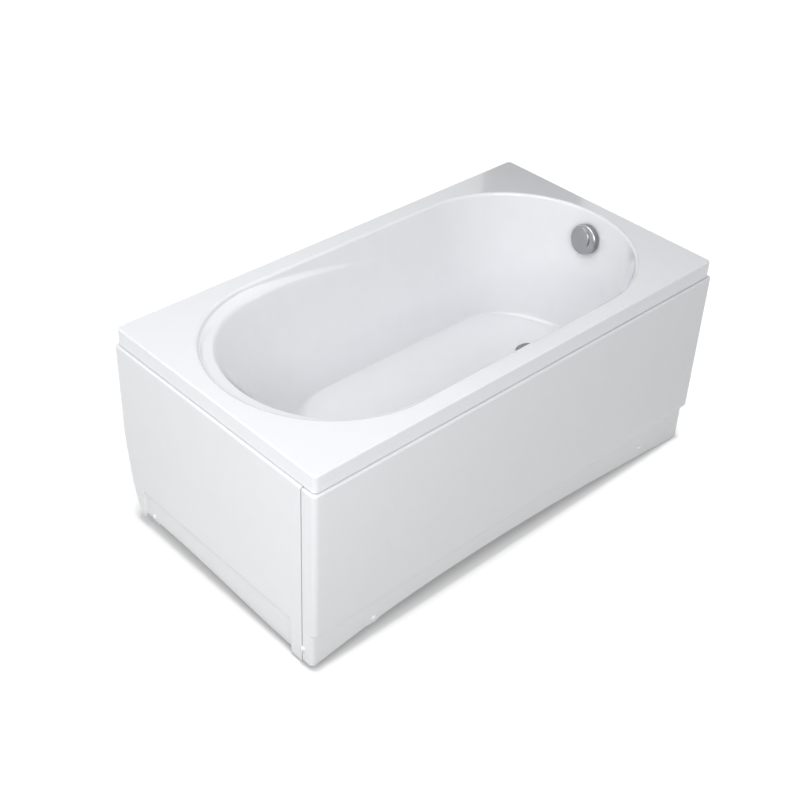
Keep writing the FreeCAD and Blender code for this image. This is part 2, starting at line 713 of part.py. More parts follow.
def drilled_strap(carrier, place, outward, top, wall=PANEL_WALL):
    side = outward.cross(UP)
    bent = strap(carrier, place.dot(outward) - wall, outward, top, place.dot(side))
    return bent.cut(rod(SCREW, place, place - outward * (SCREW_LENGTH + OVERCUT)))


def make_panels():
    save("front_panel", front_panel())
    save("end_panel", end_panel())
    front, end = front_screw_places(), end_screw_places()
    save("front_caps", Part.makeCompound([cap(place, NEAR) for place in front]))
    save("end_caps", Part.makeCompound([cap(place, OUT_HEAD) for place in end]))
    save("front_screws", Part.makeCompound([screw(place, NEAR) for place in front]))
    save("end_screws", Part.makeCompound([screw(place, OUT_HEAD) for place in end]))
    rail_face = POST_Y + TUBE / 2
    post_face = POST_X + TUBE / 2
    save("front_bracket_head", drilled_strap(rail_face, front[0], NEAR, RAIL_TOP))
    save("front_bracket_waste", drilled_strap(rail_face, front[1], NEAR, RAIL_TOP))
    save("end_bracket_back", drilled_strap(post_face, end[0], OUT_HEAD, END_BEAM_BASE + TUBE))
    save("end_bracket_seam", drilled_strap(post_face, end[1], OUT_HEAD, END_BEAM_BASE + TUBE))


# -------------------------------------------------------------------- the frame
def square_tube(x_span, y_span, z_span):
    """A square tube along whichever span is the longest."""
    spans = [x_span, y_span, z_span]
    longest = max(range(3), key=lambda i: spans[i][1] - spans[i][0])
    hollow = [(s[0] + TUBE_WALL, s[1] - TUBE_WALL) for s in spans]
    hollow[longest] = (spans[longest][0] - OVERCUT, spans[longest][1] + OVERCUT)
    return block(*spans).cut(block(*hollow))


def around(middle, width):
    return (middle - width / 2, middle + width / 2)


def corner_post(x, y):
    """A post with its top plate and the threaded plug for its foot."""
    top = DECK_UNDERSIDE - PLATE_THICKNESS
    tube = square_tube(around(x, TUBE), around(y, TUBE), (POST_FOOT, top))
    plug = block(around(x, TUBE - 2 * TUBE_WALL), around(y, TUBE - 2 * TUBE_WALL),
                 (POST_FOOT, POST_FOOT + TUBE))
    plate = block(around(x, POST_PLATE), around(y, POST_PLATE), (top, DECK_UNDERSIDE))
    bore = rod(STUD + 2 * RUNNING_FIT, Vec(x, y, POST_FOOT - OVERCUT),
               Vec(x, y, POST_FOOT + TUBE + OVERCUT))
    return tube.fuse([plug, plate]).removeSplitter().cut(bore)


def cross_beam(x, threaded):
    beam = square_tube(around(x, TUBE), (-POST_Y - TUBE / 2, POST_Y + TUBE / 2), (RAIL_TOP, BOARD_BASE))
    if not threaded:
        return beam
    nut = block(around(x, WELD_NUT), around(0, WELD_NUT), (RAIL_TOP - WELD_NUT_HEIGHT, RAIL_TOP))
    bore = rod(STUD + 2 * RUNNING_FIT, Vec(x, 0, RAIL_TOP - WELD_NUT_HEIGHT - OVERCUT),
               Vec(x, 0, RAIL_TOP + TUBE_WALL + OVERCUT))
    return beam.fuse(nut).cut(bore)


def floor_board(outer):
    """The board under the floor, its top shaped to the underside of the shell."""
    blank = block((CROSS_BEAM_X[0] - BOARD_END, CROSS_BEAM_X[-1] + BOARD_END), around(0, BOARD_WIDTH),
                  (BOARD_BASE, WASTE_TOP + SHELL_WALL))
    return blank.cut(outer)


def make_battens():
    """Timber battens under the deck; the panels' flanges hang from three of them."""
    edge_x, edge_y = HALF_LENGTH - SHELL_WALL - BATTEN_GAP, HALF_WIDTH - SHELL_WALL - BATTEN_GAP
    run_x, run_y = POST_X - BATTEN_END_GAP, POST_Y - BATTEN_END_GAP
    hung, plain = (PANEL_TOP, DECK_UNDERSIDE), (DECK_UNDERSIDE - BATTEN_DEPTH, DECK_UNDERSIDE)
    save("rim_batten_front", block((-run_x, run_x), (-edge_y, -edge_y + BATTEN_WIDTH), hung))
    save("rim_batten_back", block((-run_x, run_x), (edge_y - BATTEN_WIDTH, edge_y), plain))
    save("rim_batten_head", block((-edge_x, -edge_x + BATTEN_WIDTH), (-run_y, run_y), hung))
    save("rim_batten_waste", block((edge_x - BATTEN_WIDTH, edge_x), (-run_y, run_y), plain))


def make_frame(outer):
    corners = {"head_near": (-POST_X, -POST_Y), "head_back": (-POST_X, POST_Y),
               "waste_near": (POST_X, -POST_Y), "waste_back": (POST_X, POST_Y)}
    for name, (x, y) in corners.items():
        save("corner_post_" + name, corner_post(x, y))
    run_x, run_y = POST_X - TUBE / 2, POST_Y - TUBE / 2
    for name, side in (("front", -1), ("back", 1)):
        save("rail_" + name, square_tube((-run_x, run_x), around(side * POST_Y, TUBE), (RAIL_BASE, RAIL_TOP)))
    for name, side in (("head", -1), ("waste", 1)):
        save("end_beam_" + name, square_tube(around(side * POST_X, TUBE), (-run_y, run_y),
                                             (END_BEAM_BASE, END_BEAM_BASE + TUBE)))
    for name, x in zip(("head", "middle", "waste"), CROSS_BEAM_X):
        save("cross_beam_" + name, cross_beam(x, name == "middle"))
    save("floor_board", floor_board(outer))
    make_battens()
    make_feet(corners)


# --------------------------------------------------------------------- the feet
def foot_pad(x, y):
    """A turned pad with a socket for the stud."""
    wide, neck, socket = PAD_DIAMETER / 2, PAD_NECK / 2, STUD / 2
    pad = turned([(0, 0), (wide - PAD_BEVEL, 0), (wide, PAD_BEVEL), (wide, PAD_RIM), (neck, PAD_HEIGHT),
                  (socket, PAD_HEIGHT), (socket, PAD_SEAT), (0, PAD_SEAT)])
    return placed(pad, Vec(x, y, 0))


def foot_stud(x, y, top):
    stud = rod(STUD, Vec(x, y, PAD_SEAT), Vec(x, y, top))
    return stud.makeChamfer(STUD_BEVEL, [stud.Edges[0]])


def hexagon(x, y, base, across, height):
    reach = across / math.sqrt(3)
    turns = [math.radians(60 * i) for i in range(7)]
    points = [Vec(x + reach * math.cos(a), y + reach * math.sin(a), base) for a in turns]
    return Part.Face(Part.makePolygon(points)).extrude(UP * height)


def lock_nut(x, y, top):
    base = top - NUT_HEIGHT
    bore = rod(STUD + 2 * RUNNING_FIT, Vec(x, y, base - OVERCUT), Vec(x, y, top + OVERCUT))
    return hexagon(x, y, base, NUT_ACROSS, NUT_HEIGHT).cut(bore)


def make_feet(corners):
    """Five screwed feet: one in each post and one under the middle beam."""
    seats = {name: (x, y, POST_FOOT) for name, (x, y) in corners.items()}
    seats["middle"] = (CROSS_BEAM_X[1], 0.0, RAIL_TOP - WELD_NUT_HEIGHT)
    nuts = []
    for name, (x, y, seat) in seats.items():
        bite = STUD_BITE if name != "middle" else WELD_NUT_HEIGHT + TUBE - 2 * TUBE_WALL
        save("foot_pad_" + name, foot_pad(x, y))
        save("foot_stud_" + name, foot_stud(x, y, seat + bite))
        nuts.append(lock_nut(x, y, seat))
    save("lock_nuts", Part.makeCompound(nuts))


# -------------------------------------------------------------------- the waste
def drain_flange():
    """The chrome flange in the floor, with its tube and the guide for the stem."""
    wide, mouth = WASTE_FLANGE / 2, WASTE_TUBE / 2 - WASTE_TUBE_WALL
    outside = WASTE_TUBE / 2
    top, seat, end = FLANGE_TOP, WASTE_SEAT, WASTE_SEAT - WASTE_TUBE_LENGTH
    rise = top - seat - EDGE_BREAK
    nook = rise * (1 - math.sqrt(0.5))
    body = turned([(mouth, end), (outside, end), (outside, seat), (wide, seat), (wide, seat + EDGE_BREAK),
                   (wide - nook, top - nook, wide - rise, top), (mouth, top)])
    low = FLANGE_TOP - SPIDER_DEPTH - SPIDER_HEIGHT
    span = (low, low + SPIDER_HEIGHT)
    reach = 2 * mouth + WASTE_TUBE_WALL
    arms = [block(around(0, reach), around(0, SPIDER_ARM), span),
            block(around(0, SPIDER_ARM), around(0, reach), span)]
    hub = rod(SPIDER_HUB, Vec(0, 0, span[0]), Vec(0, 0, span[1]))
    guide = rod(STEM + 2 * RUNNING_FIT, Vec(0, 0, span[0] - OVERCUT), Vec(0, 0, span[1] + OVERCUT))
    return placed(body.fuse(arms + [hub]).cut(guide), Vec(WASTE_X, 0, 0))


def port_end():
    return Vec(WASTE_X + PORT_REACH, 0, PORT_Z)


def lever_pivot():
    return Vec(WASTE_X + LEVER_ARM, 0, PORT_Z)


def cable_path_ends():
    """Where the control cable leaves the overflow and enters the waste."""
    side = Vec(0, CABLE_OFFSET, 0)
    return Vec(HOSE_X, 0, HOSE_TOP) + side, port_end() + side


def drain_body():
    """The waste body under the shell: flange, cup, outlet and side port."""
    bore = WASTE_TUBE / 2 + RUNNING_FIT
    cup = bore + BODY_WALL
    lip, floor = BODY_TOP - BODY_FLANGE_HEIGHT, CUP_BASE - BODY_WALL
    out, way = OUTLET / 2, OUTLET / 2 - OUTLET_WALL
    body = turned([(bore, CUP_BASE), (bore, BODY_TOP), (BODY_FLANGE / 2, BODY_TOP), (BODY_FLANGE / 2, lip),
                   (cup, lip), (cup, floor), (out, floor), (out, OUTLET_END), (way, OUTLET_END),
                   (way, CUP_BASE)])
    body = placed(body, Vec(WASTE_X, 0, 0))
    port = rod(PORT, waste_axis(PORT_Z), port_end())
    gland_end = port_end() + Vec(0, CABLE_OFFSET, 0)
    gland = rod(CABLE_GLAND, gland_end - Vec(CABLE_GLAND_LENGTH, 0, 0), gland_end)
    gland_start = gland_end.x - CABLE_GLAND_LENGTH
    web = block((gland_start, gland_start + GLAND_WEB),
                (PORT / 2 - PORT_WALL / 2, CABLE_OFFSET), around(PORT_Z, CABLE_GLAND / 2))
    cup_space = rod(2 * bore, waste_axis(CUP_BASE), waste_axis(BODY_TOP))
    port_space = rod(PORT - 2 * PORT_WALL, waste_axis(PORT_Z), port_end() + Vec(OVERCUT, 0, 0))
    pin = rod(LEVER_PIN + 2 * RUNNING_FIT, lever_pivot() - Vec(0, PORT, 0), lever_pivot() + Vec(0, PORT, 0))
    return body.fuse([port, gland, web]).cut([cup_space, port_space, pin])


def plug_cap():
    wide = PLUG / 2
    top = PLUG_BASE + PLUG_HEIGHT
    shoulder = PLUG_BASE + PLUG_HEIGHT * SIDE_SHARE
    shape = turned([(0, PLUG_BASE), (wide - EDGE_BREAK, PLUG_BASE), (wide, PLUG_BASE + EDGE_BREAK),
                    (wide, shoulder), dome(wide, shoulder, top)])
    return placed(shape, Vec(WASTE_X, 0, 0))


def plug_stem():
    """The stem, round at its lower end where the lever lifts it."""
    reach = STEM / 2
    low = PORT_Z + LEVER_THICKNESS / 2 + LEVER_GAP
    nook = reach * math.sqrt(0.5)
    shape = turned([(0, low), (nook, low + reach - nook, reach, low + reach), (reach, PLUG_BASE),
                    (0, PLUG_BASE)])
    return placed(shape, Vec(WASTE_X, 0, 0))


def lift_lever():
    pivot = lever_pivot()
    tip = WASTE_X - LEVER_OVERHANG
    arm = block((tip, pivot.x), around(0, LEVER_WIDTH), around(PORT_Z, LEVER_THICKNESS))
    side, end = Vec(0, LEVER_WIDTH / 2, 0), Vec(0, PORT / 2 - LEVER_PIN_GAP, 0)
    eye = rod(LEVER_EYE, pivot - side, pivot + side)
    pin = rod(LEVER_PIN, pivot - end, pivot + end)
    return arm.fuse([eye, pin])


def make_waste():
    save("drain_flange", drain_flange())
    gasket = pipe(BODY_FLANGE, WASTE_TUBE + 1, waste_axis(BODY_TOP), waste_axis(BOSS_BASE))
    save("drain_gasket", gasket)
    save("drain_body", drain_body())
    save("plug_cap", plug_cap())
    save("plug_seal", pipe(SEAL_OUTER, SEAL_INNER, waste_axis(FLANGE_TOP), waste_axis(PLUG_BASE)))
    save("plug_stem", plug_stem())
    save("lift_lever", lift_lever())


# --------------------------------------------------------------------- the trap
def arc(start, middle, end):
    return Part.Arc(start, middle, end).toShape()


def route_wire(points, radii):
    """Straight lines through the points, with a tangent arc at each inner one."""
    edges = []
    start = points[0]
    for corner, after, radius in zip(points[1:-1], points[2:], radii):
        incoming = (corner - start).normalize()
        outgoing = (after - corner).normalize()
        turn = incoming.getAngle(outgoing)
        reach = radius * math.tan(turn / 2)
        entry, leave = corner - incoming * reach, corner + outgoing * reach
        middle = corner + (outgoing - incoming).normalize() * (radius / math.cos(turn / 2) - radius)
        if (entry - start).Length > 1e-6:
            edges.append(Part.LineSegment(start, entry).toShape())
        edges.append(arc(entry, middle, leave))
        start = leave
    edges.append(Part.LineSegment(start, points[-1]).toShape())
    return Part.Wire(edges)


def tube_along(points, radii, diameter):
    """A round rod swept along a route."""
    ring = Part.Circle(points[0], points[1] - points[0], diameter / 2).toShape()
    return route_wire(points, radii).makePipe(Part.Face(Part.Wire([ring])))


def hose_along(points, radii, diameter, bore):
    return tube_along(points, radii, diameter).cut(tube_along(points, radii, bore))


def trap_route():
    """Down from the waste, round the water seal, up and out to the wall."""
    base, rise_x = TRAP_LOW - TRAP_BEND, WASTE_X - 2 * TRAP_BEND
    level = TRAP_LOW + TRAP_TURN
    return [waste_axis(OUTLET_END), waste_axis(base), Vec(rise_x, 0, base), Vec(rise_x, 0, level),
            Vec(rise_x, TRAP_TURN + TRAP_SPIGOT, level)]


def trap_body():
    return hose_along(trap_route(), [TRAP_BEND, TRAP_BEND, TRAP_TURN], TRAP_PIPE, TRAP_PIPE - 2 * TRAP_WALL)


def ribbed_nut(diameter, bore, start, end):
    """A hand nut with grip ribs round it."""
    axis = end - start
    reach = diameter / 2
    body = Part.makeCylinder(reach - RIB_RISE, axis.Length)
    ridges = []
    for number in range(NUT_RIBS):
        ridge = block((reach - RIB_DEPTH, reach), around(0, RIB_WIDTH),
                      (RIB_END_GAP, axis.Length - RIB_END_GAP))
        ridge.rotate(Vec(0, 0, 0), UP, 360 * number / NUT_RIBS)
        ridges.append(ridge)
    body = body.fuse(ridges).cut(Part.makeCylinder(bore / 2, axis.Length))
    return placed(body, start, FreeCAD.Rotation(UP, axis))


def make_trap():
    save("trap_body", trap_body())
    spigot = trap_route()[-1]
    middle = waste_axis(OUTLET_END)
    half = UP * (TRAP_NUT_HEIGHT / 2)
    save("trap_nut", ribbed_nut(TRAP_NUT, OUTLET, middle - half, middle + half))
    wall_end = Vec(spigot.x, HALF_WIDTH, spigot.z)
    stop = spigot + Vec(0, PIPE_STOP_PLACE, 0)
    collar = rod(PIPE_STOP, stop, stop + Vec(0, PIPE_STOP_WIDTH, 0))
    way = rod(TRAP_PIPE - 2 * TRAP_WALL, spigot, wall_end)
    save("outlet_pipe", rod(TRAP_PIPE, spigot, wall_end).fuse(collar).cut(way))
    half = Vec(0, TRAP_NUT_HEIGHT / 2, 0)
    save("outlet_nut", ribbed_nut(TRAP_NUT, TRAP_PIPE, spigot - half, spigot + half))


# ----------------------------------------------------------------- the overflow
def knob_face():
    return KNOB_STANDOFF + KNOB_HEIGHT


def overflow_knob():
    """A hollow turned knob with a leaf-shaped grip across its face."""
    wide, face, edge = KNOB / 2, knob_face(), KNOB_EDGE
    nook = edge * (1 - math.sqrt(0.5))
    inner, hub = wide - KNOB_WALL, SHAFT / 2 + KNOB_WALL
    roof = face - KNOB_WALL
    seat = face - 2 * KNOB_WALL
    body = turned([(inner, KNOB_STANDOFF), (wide - EDGE_BREAK, KNOB_STANDOFF),
                   (wide, KNOB_STANDOFF + EDGE_BREAK), (wide, face - edge),
                   (wide - nook, face - nook, wide - edge, face), (0, face),
                   (0, seat), (SHAFT / 2, seat), (SHAFT / 2, KNOB_STANDOFF), (hub, KNOB_STANDOFF),
                   (hub, roof), (inner, roof)])
    half, side = GRIP_LENGTH / 2, GRIP_WIDTH / 2
    wires = []
    top = face + GRIP_HEIGHT
    for bevels, z in ((0, face - EDGE_BREAK), (0, face), (1, top - GRIP_BEVEL), (2, top)):
        tip, belly = half - bevels * GRIP_BEVEL, side - bevels * GRIP_BEVEL
        wires.append(Part.Wire([arc(Vec(-tip, 0, z), Vec(0, belly, z), Vec(tip, 0, z)),
                                arc(Vec(tip, 0, z), Vec(0, -belly, z), Vec(-tip, 0, z))]))
    grip = Part.makeLoft(wires, True, True)
    grip.rotate(Vec(0, 0, 0), UP, GRIP_ANGLE)
    return at_overflow(body.fuse(grip))


def overflow_plate():
    """The fixed rosette: a plate with water ports, a shaft bush and a tube."""
    back = -OVERFLOW_SEAT_CUT
    front = back + ROSETTE_THICKNESS
    tube, end = ROSETTE_TUBE / 2, back - ROSETTE_TUBE_LENGTH
    bush, bush_end, rim = SHAFT / 2 + RUNNING_FIT, back - BUSH_LENGTH, ROSETTE / 2
    body = turned([(bush, bush_end), (bush, front), (rim - EDGE_BREAK, front), (rim, front - EDGE_BREAK),
                   (rim, back), (tube, back), (tube, end), (tube - ROSETTE_TUBE_WALL, end),
                   (tube - ROSETTE_TUBE_WALL, back), (bush + BUSH_WALL, back), (bush + BUSH_WALL, bush_end)])
    ports = []
    for number in range(ROSETTE_PORTS):
        turn = math.radians(360 * number / ROSETTE_PORTS)
        spot = Vec(ROSETTE_PORT_CIRCLE / 2 * math.cos(turn), ROSETTE_PORT_CIRCLE / 2 * math.sin(turn), 0)
        ports.append(rod(ROSETTE_PORT, spot + UP * (back - OVERCUT), spot + UP * (front + OVERCUT)))
    return at_overflow(body.cut(ports))


def cup_floor():
    return -OVERFLOW_BOSS_DEPTH - GASKET - BODY_FLANGE_HEIGHT - CUP_DEPTH


def overflow_body():
    """The cup behind the wall, with its spout down to the hose."""
    flange = -OVERFLOW_BOSS_DEPTH - GASKET
    step, floor = flange - BODY_FLANGE_HEIGHT, cup_floor()
    bore = ROSETTE_TUBE / 2 + RUNNING_FIT
    cup = bore + CUP_WALL
    wide = OVERFLOW_BOSS / 2
    outline = [(0, floor), (cup - CUP_WALL, floor), (cup, floor + CUP_WALL), (cup, step), (wide, step),
               (wide, flange), (0, flange)]
    solid = at_overflow(turned(outline))
    space = at_overflow(rod(2 * bore, Vec(0, 0, floor + CUP_WALL), Vec(0, 0, flange)))
    middle = overflow_seat()[0].z
    spout = rod(HOSE, Vec(HOSE_X, 0, HOSE_TOP), Vec(HOSE_X, 0, middle))
    way = rod(HOSE_BORE, Vec(HOSE_X, 0, HOSE_TOP - OVERCUT), Vec(HOSE_X, 0, middle - CUP_WALL))
    top = cable_path_ends()[0]
    gland = rod(CABLE_GLAND, top, top + UP * CABLE_GLAND_LENGTH)
    gland_top = HOSE_TOP + CABLE_GLAND_LENGTH
    web = block(around(top.x, CABLE_GLAND / 2), (HOSE_BORE / 2, CABLE_OFFSET),
                (gland_top - GLAND_WEB, gland_top))
    front = at_overflow(rod(OVERFLOW_BOSS * 2, Vec(0, 0, flange), Vec(0, 0, KNOB)))
    return solid.fuse([spout, gland, web]).cut([front, space, way])


def knob_crank():
    """The shaft behind the knob and the arm that pulls the cable."""
    low = cup_floor() + CUP_WALL + CRANK_GAP
    shaft = rod(SHAFT, Vec(0, 0, low), Vec(0, 0, knob_face() - 2 * KNOB_WALL))
    arm = block((0, CRANK_ARM), around(0, CRANK_WIDTH), (low, low + CRANK_THICKNESS))
    eye = rod(CRANK_WIDTH, Vec(CRANK_ARM, 0, low), Vec(CRANK_ARM, 0, low + CRANK_THICKNESS))
    pin = rod(CABLE, Vec(CRANK_ARM, 0, low), Vec(CRANK_ARM, 0, low + 2 * CRANK_THICKNESS))
    return at_overflow(shaft.fuse([arm, eye, pin]))


def hose_route(start, end):
    """Straight down, one round bend, then level to the waste."""
    return [start, Vec(start.x, start.y, end.z), end]


def make_overflow():
    save("overflow_knob", overflow_knob())
    save("overflow_plate", overflow_plate())
    back = -OVERFLOW_BOSS_DEPTH
    save("overflow_gasket", at_overflow(pipe(OVERFLOW_BOSS, OVERFLOW_HOLE + 1, Vec(0, 0, back - GASKET),
                                             Vec(0, 0, back))))
    save("overflow_body", overflow_body())
    save("knob_crank", knob_crank())
    start, end = Vec(HOSE_X, 0, HOSE_TOP), port_end()
    save("overflow_hose", hose_along(hose_route(start, end), [HOSE_BEND], HOSE, HOSE_BORE))
    half = UP * (HOSE_NUT_LENGTH / 2)
    save("hose_nut_top", ribbed_nut(HOSE_NUT, HOSE, start - half, start + half))
    half = Vec(HOSE_NUT_LENGTH / 2, 0, 0)
    save("hose_nut_bottom", ribbed_nut(HOSE_NUT, PORT, end - half, end + half))
    save("cable_sheath", tube_along(hose_route(*cable_path_ends()), [HOSE_BEND], CABLE))


os.makedirs("parts", exist_ok=True)
basin, basin_with_wall = basin_skins()
save("tub_shell", tub_shell(basin, basin_with_wall))
make_frame(basin_with_wall)
make_panels()
make_waste()
make_trap()
make_overflow()
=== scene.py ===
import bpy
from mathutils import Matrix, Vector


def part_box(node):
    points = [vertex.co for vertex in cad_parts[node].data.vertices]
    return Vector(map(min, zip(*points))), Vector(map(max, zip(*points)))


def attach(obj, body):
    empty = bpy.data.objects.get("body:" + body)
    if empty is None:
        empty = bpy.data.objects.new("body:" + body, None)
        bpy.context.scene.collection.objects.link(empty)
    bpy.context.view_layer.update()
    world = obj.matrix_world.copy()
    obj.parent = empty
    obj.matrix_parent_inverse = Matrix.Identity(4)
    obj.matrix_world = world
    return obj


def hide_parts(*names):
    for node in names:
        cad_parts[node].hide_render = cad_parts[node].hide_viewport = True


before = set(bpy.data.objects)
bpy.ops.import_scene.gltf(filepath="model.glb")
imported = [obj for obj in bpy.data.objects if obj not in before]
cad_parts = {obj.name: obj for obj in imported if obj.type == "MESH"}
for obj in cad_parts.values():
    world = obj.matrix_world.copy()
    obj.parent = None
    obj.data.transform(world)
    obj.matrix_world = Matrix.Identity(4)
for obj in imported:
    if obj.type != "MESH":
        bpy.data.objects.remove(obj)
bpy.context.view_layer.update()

import math

import bmesh
import bpy
from bpy.props import FloatProperty, FloatVectorProperty, IntProperty, PointerProperty
from mathutils import Matrix, Vector

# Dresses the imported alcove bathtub: a fine moulded shell, pressed panels, turned
# chrome fittings, a ribbed hose, threaded feet, and a finish for every part of
# the frame. Metres. +X points to the waste end, -Y to the room, +Z up.

bl_info = {
    "name": "Alcove bathtub",
    "version": (1, 0, 0),
    "blender": (4, 5, 0),
    "location": "View3D > Sidebar > Bathtub",
    "description": "Builds the visible pieces and finishes of an alcove bathtub round its packed frame",
    "category": "Object",
}

MM = 0.001
QUARTER = math.pi / 2
SMOOTH_ANGLE = math.radians(34)
TINY = 1e-9


# ------------------------------------------------------------------ the settings
def length(name, description, millimetres):
    return FloatProperty(name=name, description=description, default=millimetres * MM, unit="LENGTH")


def colour(name, description, value):
    return FloatVectorProperty(name=name, description=description, default=value, subtype="COLOR",
                               size=3, min=0, max=1)


def number(name, description, value):
    return FloatProperty(name=name, description=description, default=value, min=0)


def turn_angle(name, description, degrees):
    return FloatProperty(name=name, description=description, default=math.radians(degrees), subtype="ANGLE")


class BathtubBasin(bpy.types.PropertyGroup):
    """Sizes of the moulded shell."""

    rim_length: length("Rim length", "Length of the deck from head to waste end", 1300)
    rim_width: length("Rim width", "Width of the deck", 700)
    rim_height: length("Rim height", "Height of the deck above the floor", 560)
    skirt: length("Skirt", "Depth of the turned-down edge of the deck", 44)
    wall: length("Wall", "Thickness of the shell", 5)
    corner: length("Rim corner", "Radius of the deck's corners in plan", 12)
    edge: length("Deck edge", "Radius of the deck's outer edge", 4)
    deck_side: length("Deck beside the opening", "Width of the deck along the sides", 43)
    deck_end: length("Deck at the ends", "Width of the deck at the middle of each end", 37)
    lip: length("Lip", "Radius of the rolled lip of the opening", 8)
    ledge_drop: length("Ledge drop", "Depth of the ledge under the deck", 14)
    ledge_fall: length("Ledge fall", "How far the ledge slopes down to its nose", 5)
    ledge_nose: length("Ledge nose", "Size of the ease at the nose of the ledge", 5)
    ledge_ease: length("Ledge ease", "Drop over the top of the nose", 1)
    ledge_cove: length("Ledge cove", "Size of the cove at the back of the ledge", 3)
    ledge_start_side: length("Ledge start at the sides", "Inset of the back of the ledge at the sides", 11)
    ledge_start_head: length("Ledge start at the head", "Inset of the back of the ledge at the head", 17)
    ledge_end_side: length("Ledge end at the sides", "Inset of the nose at the sides", 30)
    ledge_end_head: length("Ledge end at the head", "Inset of the nose at the head", 45)
    ledge_fade_drop: length("Ledge fade drop", "How far the ledge sinks as it fades along the sides", 108)
    ledge_fade_curve: number("Ledge fade curve", "Bend of that descent", 1.4)
    ledge_fade_power: number("Ledge fade power", "How fast the ledge flattens", 3.3)
    floor_depth: length("Floor depth", "Depth of the basin at the waste", 350)
    floor_fall: number("Floor fall", "Slope of the floor to the waste", 0.011)
    side_slope: length("Side slope", "How far the sides lean in on their way down", 85)
    head_slope: length("Head slope", "How far the backrest leans in", 283)
    head_reach: length("Head reach", "Length of the rounded head end of the floor", 200)
    waste_slope: length("Waste slope", "How far the waste end leans in", 68)
    waste_reach: length("Waste reach", "Length of the rounded waste end of the floor", 160)
    fillet_side: length("Side fillet", "Radius between floor and sides", 9)
    fillet_head: length("Head fillet", "Radius between floor and backrest", 120)
    fillet_waste: length("Waste fillet", "Radius between floor and waste end", 25)


class BathtubPanels(bpy.types.PropertyGroup):
    """Sizes of the front and the end panel and of their caps."""

    proud: length("Proud", "How far the panels stand out from the rim", 6.5)
    wall: length("Wall", "Thickness of the panels", 3.5)
    top_gap: length("Gap", "Gap between the panels and the rim's skirt", 2)
    edge: length("Edge", "Radius of the panels' top edge", 4)
    corner: length("Corner", "Radius of the front panel's corners", 12)
    flange: length("Flange", "Width of the turned-in top", 36)
    fold: length("Fold", "Height of the fold over the lower band", 106)
    fold_rise: length("Fold rise", "Height that the fold takes", 6)
    front_recess: length("Front recess", "Depth of the front panel's lower band", 8.5)
    front_arch: length("Front arch", "Height of the arched lower edge", 52)
    front_foot: length("Front foot", "Height of the arch's foot at the waste end", 4)
    seam_foot: length("Seam foot", "Height of the arch's foot at the near corner", 14)
    arch_crown: length("Arch crown", "Place of the arch's top along the tub", -110)
    arch_near_bend: number("Near arch bend", "How late the arch falls towards the near corner", 2.6)
    arch_far_bend: number("Far arch bend", "How late the arch falls towards the waste end", 1.65)
    toe: length("Toe", "Radius of the waste-end toe", 18)
    seam: length("Seam", "Distance of the seam from the front face", 43.5)
    seam_gap: length("Seam gap", "Gap between the two panels", 3)
    end_recess: length("End recess", "Depth of the end panel's lower band", 6)
    foot_near: length("Near foot", "Width of the end panel's foot beside the seam", 43)
    foot_back: length("Back foot", "Width of the end panel's foot at the wall", 62)
    band_side: length("Band side", "Width of the slope at the band's sides", 5)
    band_floor: length("Band height", "Height of the band's lower edge beside the near foot", 18)
    band_rise: length("Band rise", "How far the band's lower edge rises towards the wall", 22)
    end_foot: length("Foot height", "Height of the end panel's near foot", 7)
    back_foot: length("Back foot height", "Height of the end panel's foot at the wall", 32)
    back_lean: length("Back lean", "How far the rear edge leans in at its foot", 24)
    lean_height: length("Lean height", "Height over which the rear edge leans in", 230)
    back_curl: length("Back curl", "How far the rear edge curls in at its foot", 32)
    curl_height: length("Curl height", "Height of that curl", 37)
    back_corner: length("Back corner", "Radius of the end panel's rear corner", 3)
    back_return: length("Back return", "Width of the end panel's return at the wall", 20)
    screw_height: length("Screw height", "Height of the screw caps", 51)
    front_screw: length("Front screw inset", "Distance of the front caps from the corners", 182)
    end_screw: length("End screw inset", "Distance of the end cap from the back foot", 31)
    seam_screw: length("Seam screw inset", "Distance of the seam cap from the seam", 3)
    cap: length("Cap", "Diameter of a screw cap", 15)
    cap_height: length("Cap height", "Height of a screw cap", 5)


